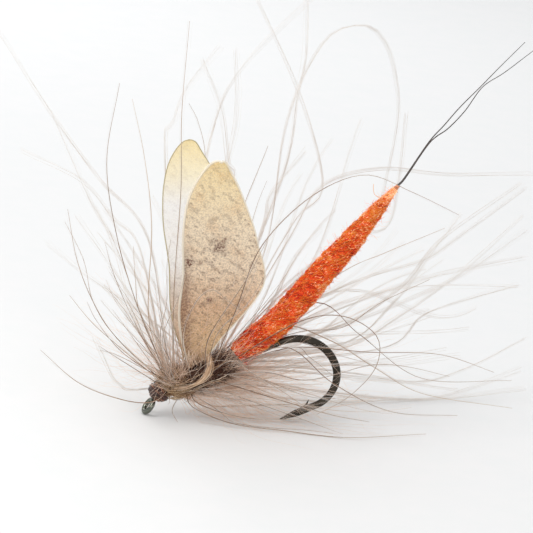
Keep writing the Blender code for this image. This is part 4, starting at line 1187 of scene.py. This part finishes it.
def build_light():
    """A sky that darkens towards the horizon, and soft lamps from the left, the front and the back."""
    world = bpy.data.worlds.new("studio")
    bpy.context.scene.world = world
    sky = Nodes(world)
    background = sky.nodes["Background"]
    axes = sky.node("ShaderNodeSeparateXYZ", {0: sky.node("ShaderNodeTexCoord").outputs["Generated"]})
    sky.feed(background.inputs["Color"], (0.985, 0.99, 1.0, 1.0))
    sky.feed(background.inputs["Strength"], sky.step(axes.outputs["Z"], -0.1, 0.7, 0.48, 1.01))
    warm = (1.0, 0.985, 0.96)
    area_light("key", (-64, -16, 92), (6, 0, 8), 50, 0.040, warm)
    area_light("fill", (30, -300, 120), (8, 0, 8), 150, 0.15, warm)
    area_light("back", (-10, 190, 130), (15, 60, 0), 130, 0.110, (1.0, 1.0, 1.0))


def build_camera():
    """The view from the left rear of the fly, with the picture turned a little."""
    turn = Matrix.Rotation(VIEW_AZIMUTH, 3, "Z") @ Matrix.Rotation(math.pi / 2 - VIEW_ELEVATION, 3, "X")
    turn = turn @ Matrix.Rotation(VIEW_ROLL, 3, "Z")
    place = turn @ Vector((*VIEW_CENTRE, VIEW_DISTANCE)) * MM
    data = bpy.data.cameras.new("camera")
    data.sensor_width = SENSOR
    data.lens = SENSOR * VIEW_DISTANCE / VIEW_WIDTH
    data.clip_start = 0.005
    data.clip_end = 10.0
    camera = bpy.data.objects.new("camera", data)
    camera.matrix_world = Matrix.Translation(place) @ turn.to_4x4()
    bpy.context.scene.collection.objects.link(camera)
    bpy.context.scene.camera = camera


# ------------------------------------------------------------------ the whole fly


def build():
    dark_thread = thread_look("head_thread_dark", (30, 16, 12), (86, 54, 44), 0.22)
    rust_thread = thread_look("head_thread_rust", (104, 54, 28), (166, 104, 64), 0.3)
    body_thread = thread_look("body_thread_orange", (204, 104, 62), (238, 170, 124))
    thorax_ground = thorax_look()
    thorax_fur = palette("thorax_fur", [(54, 28, 20), (92, 58, 42), (184, 150, 122)],
                         [(80, 50, 38), (124, 88, 68), (208, 180, 154)], 0.5)
    tuft_fur = palette("tuft_fur", [(124, 90, 60), (168, 132, 94), (214, 184, 144)],
                       [(150, 116, 82), (194, 160, 122), (230, 206, 172)])
    barbs = palette("wing_root_barb", [(178, 142, 112), (216, 184, 154), (240, 220, 196)],
                    [(196, 164, 136), (226, 202, 176), (246, 230, 210)], 0.45)
    brown = palette("hackle_brown", [(118, 88, 64), (148, 118, 92), (180, 152, 126)],
                    [(158, 130, 106), (182, 156, 134), (204, 184, 164)], 0.45)
    pale = palette("hackle_pale", [(212, 203, 195), (222, 214, 207), (230, 223, 217)],
                   [(224, 218, 212), (230, 225, 220), (237, 233, 229)], 0.9, 0.1)
    haze = palette("underfur", [(224, 186, 160), (236, 204, 180), (246, 222, 202)],
                   [(234, 204, 182), (244, 220, 202), (250, 234, 222)], 0.8)
    orange = palette("body_fibre", [(166, 20, 5), (255, 84, 20), (255, 150, 54)],
                     [(200, 36, 10), (255, 106, 34), (255, 178, 78)], 0.3, 0.28)
    # pale glint fibres that glow a little: painted sparkle highlights
    orange += palette("body_painted_glint", [(255, 202, 150)], [(250, 222, 188)], 0.2, 1.0, 0.33)
    stem = thread_look("wing_stem_quill", (176, 142, 108), (226, 198, 166))
    rims = {"left": (rim_look("pale_wing_rim", (246, 238, 220), 0.4), 1.0),
            "right": (rim_look("dark_wing_rim", (188, 176, 136), 0.3), 0.42)}
    tail = thread_look("tail_fibre", (38, 30, 26), (74, 60, 52))

    build_hook(steel_look())
    build_head(dark_thread, rust_thread)
    build_thorax(thorax_ground, thorax_fur, tuft_fur, barbs)
    build_stems(stem)
    build_body(dubbing_look(), orange)
    build_tails(tail, body_thread)
    for hand in SIDES:
        build_wing(hand, wing_look(hand), *rims[hand])
    build_hackle(brown, pale, haze)
    build_stage()
    build_light()
    build_camera()
    bpy.context.scene.view_settings.view_transform = "Standard"


build()
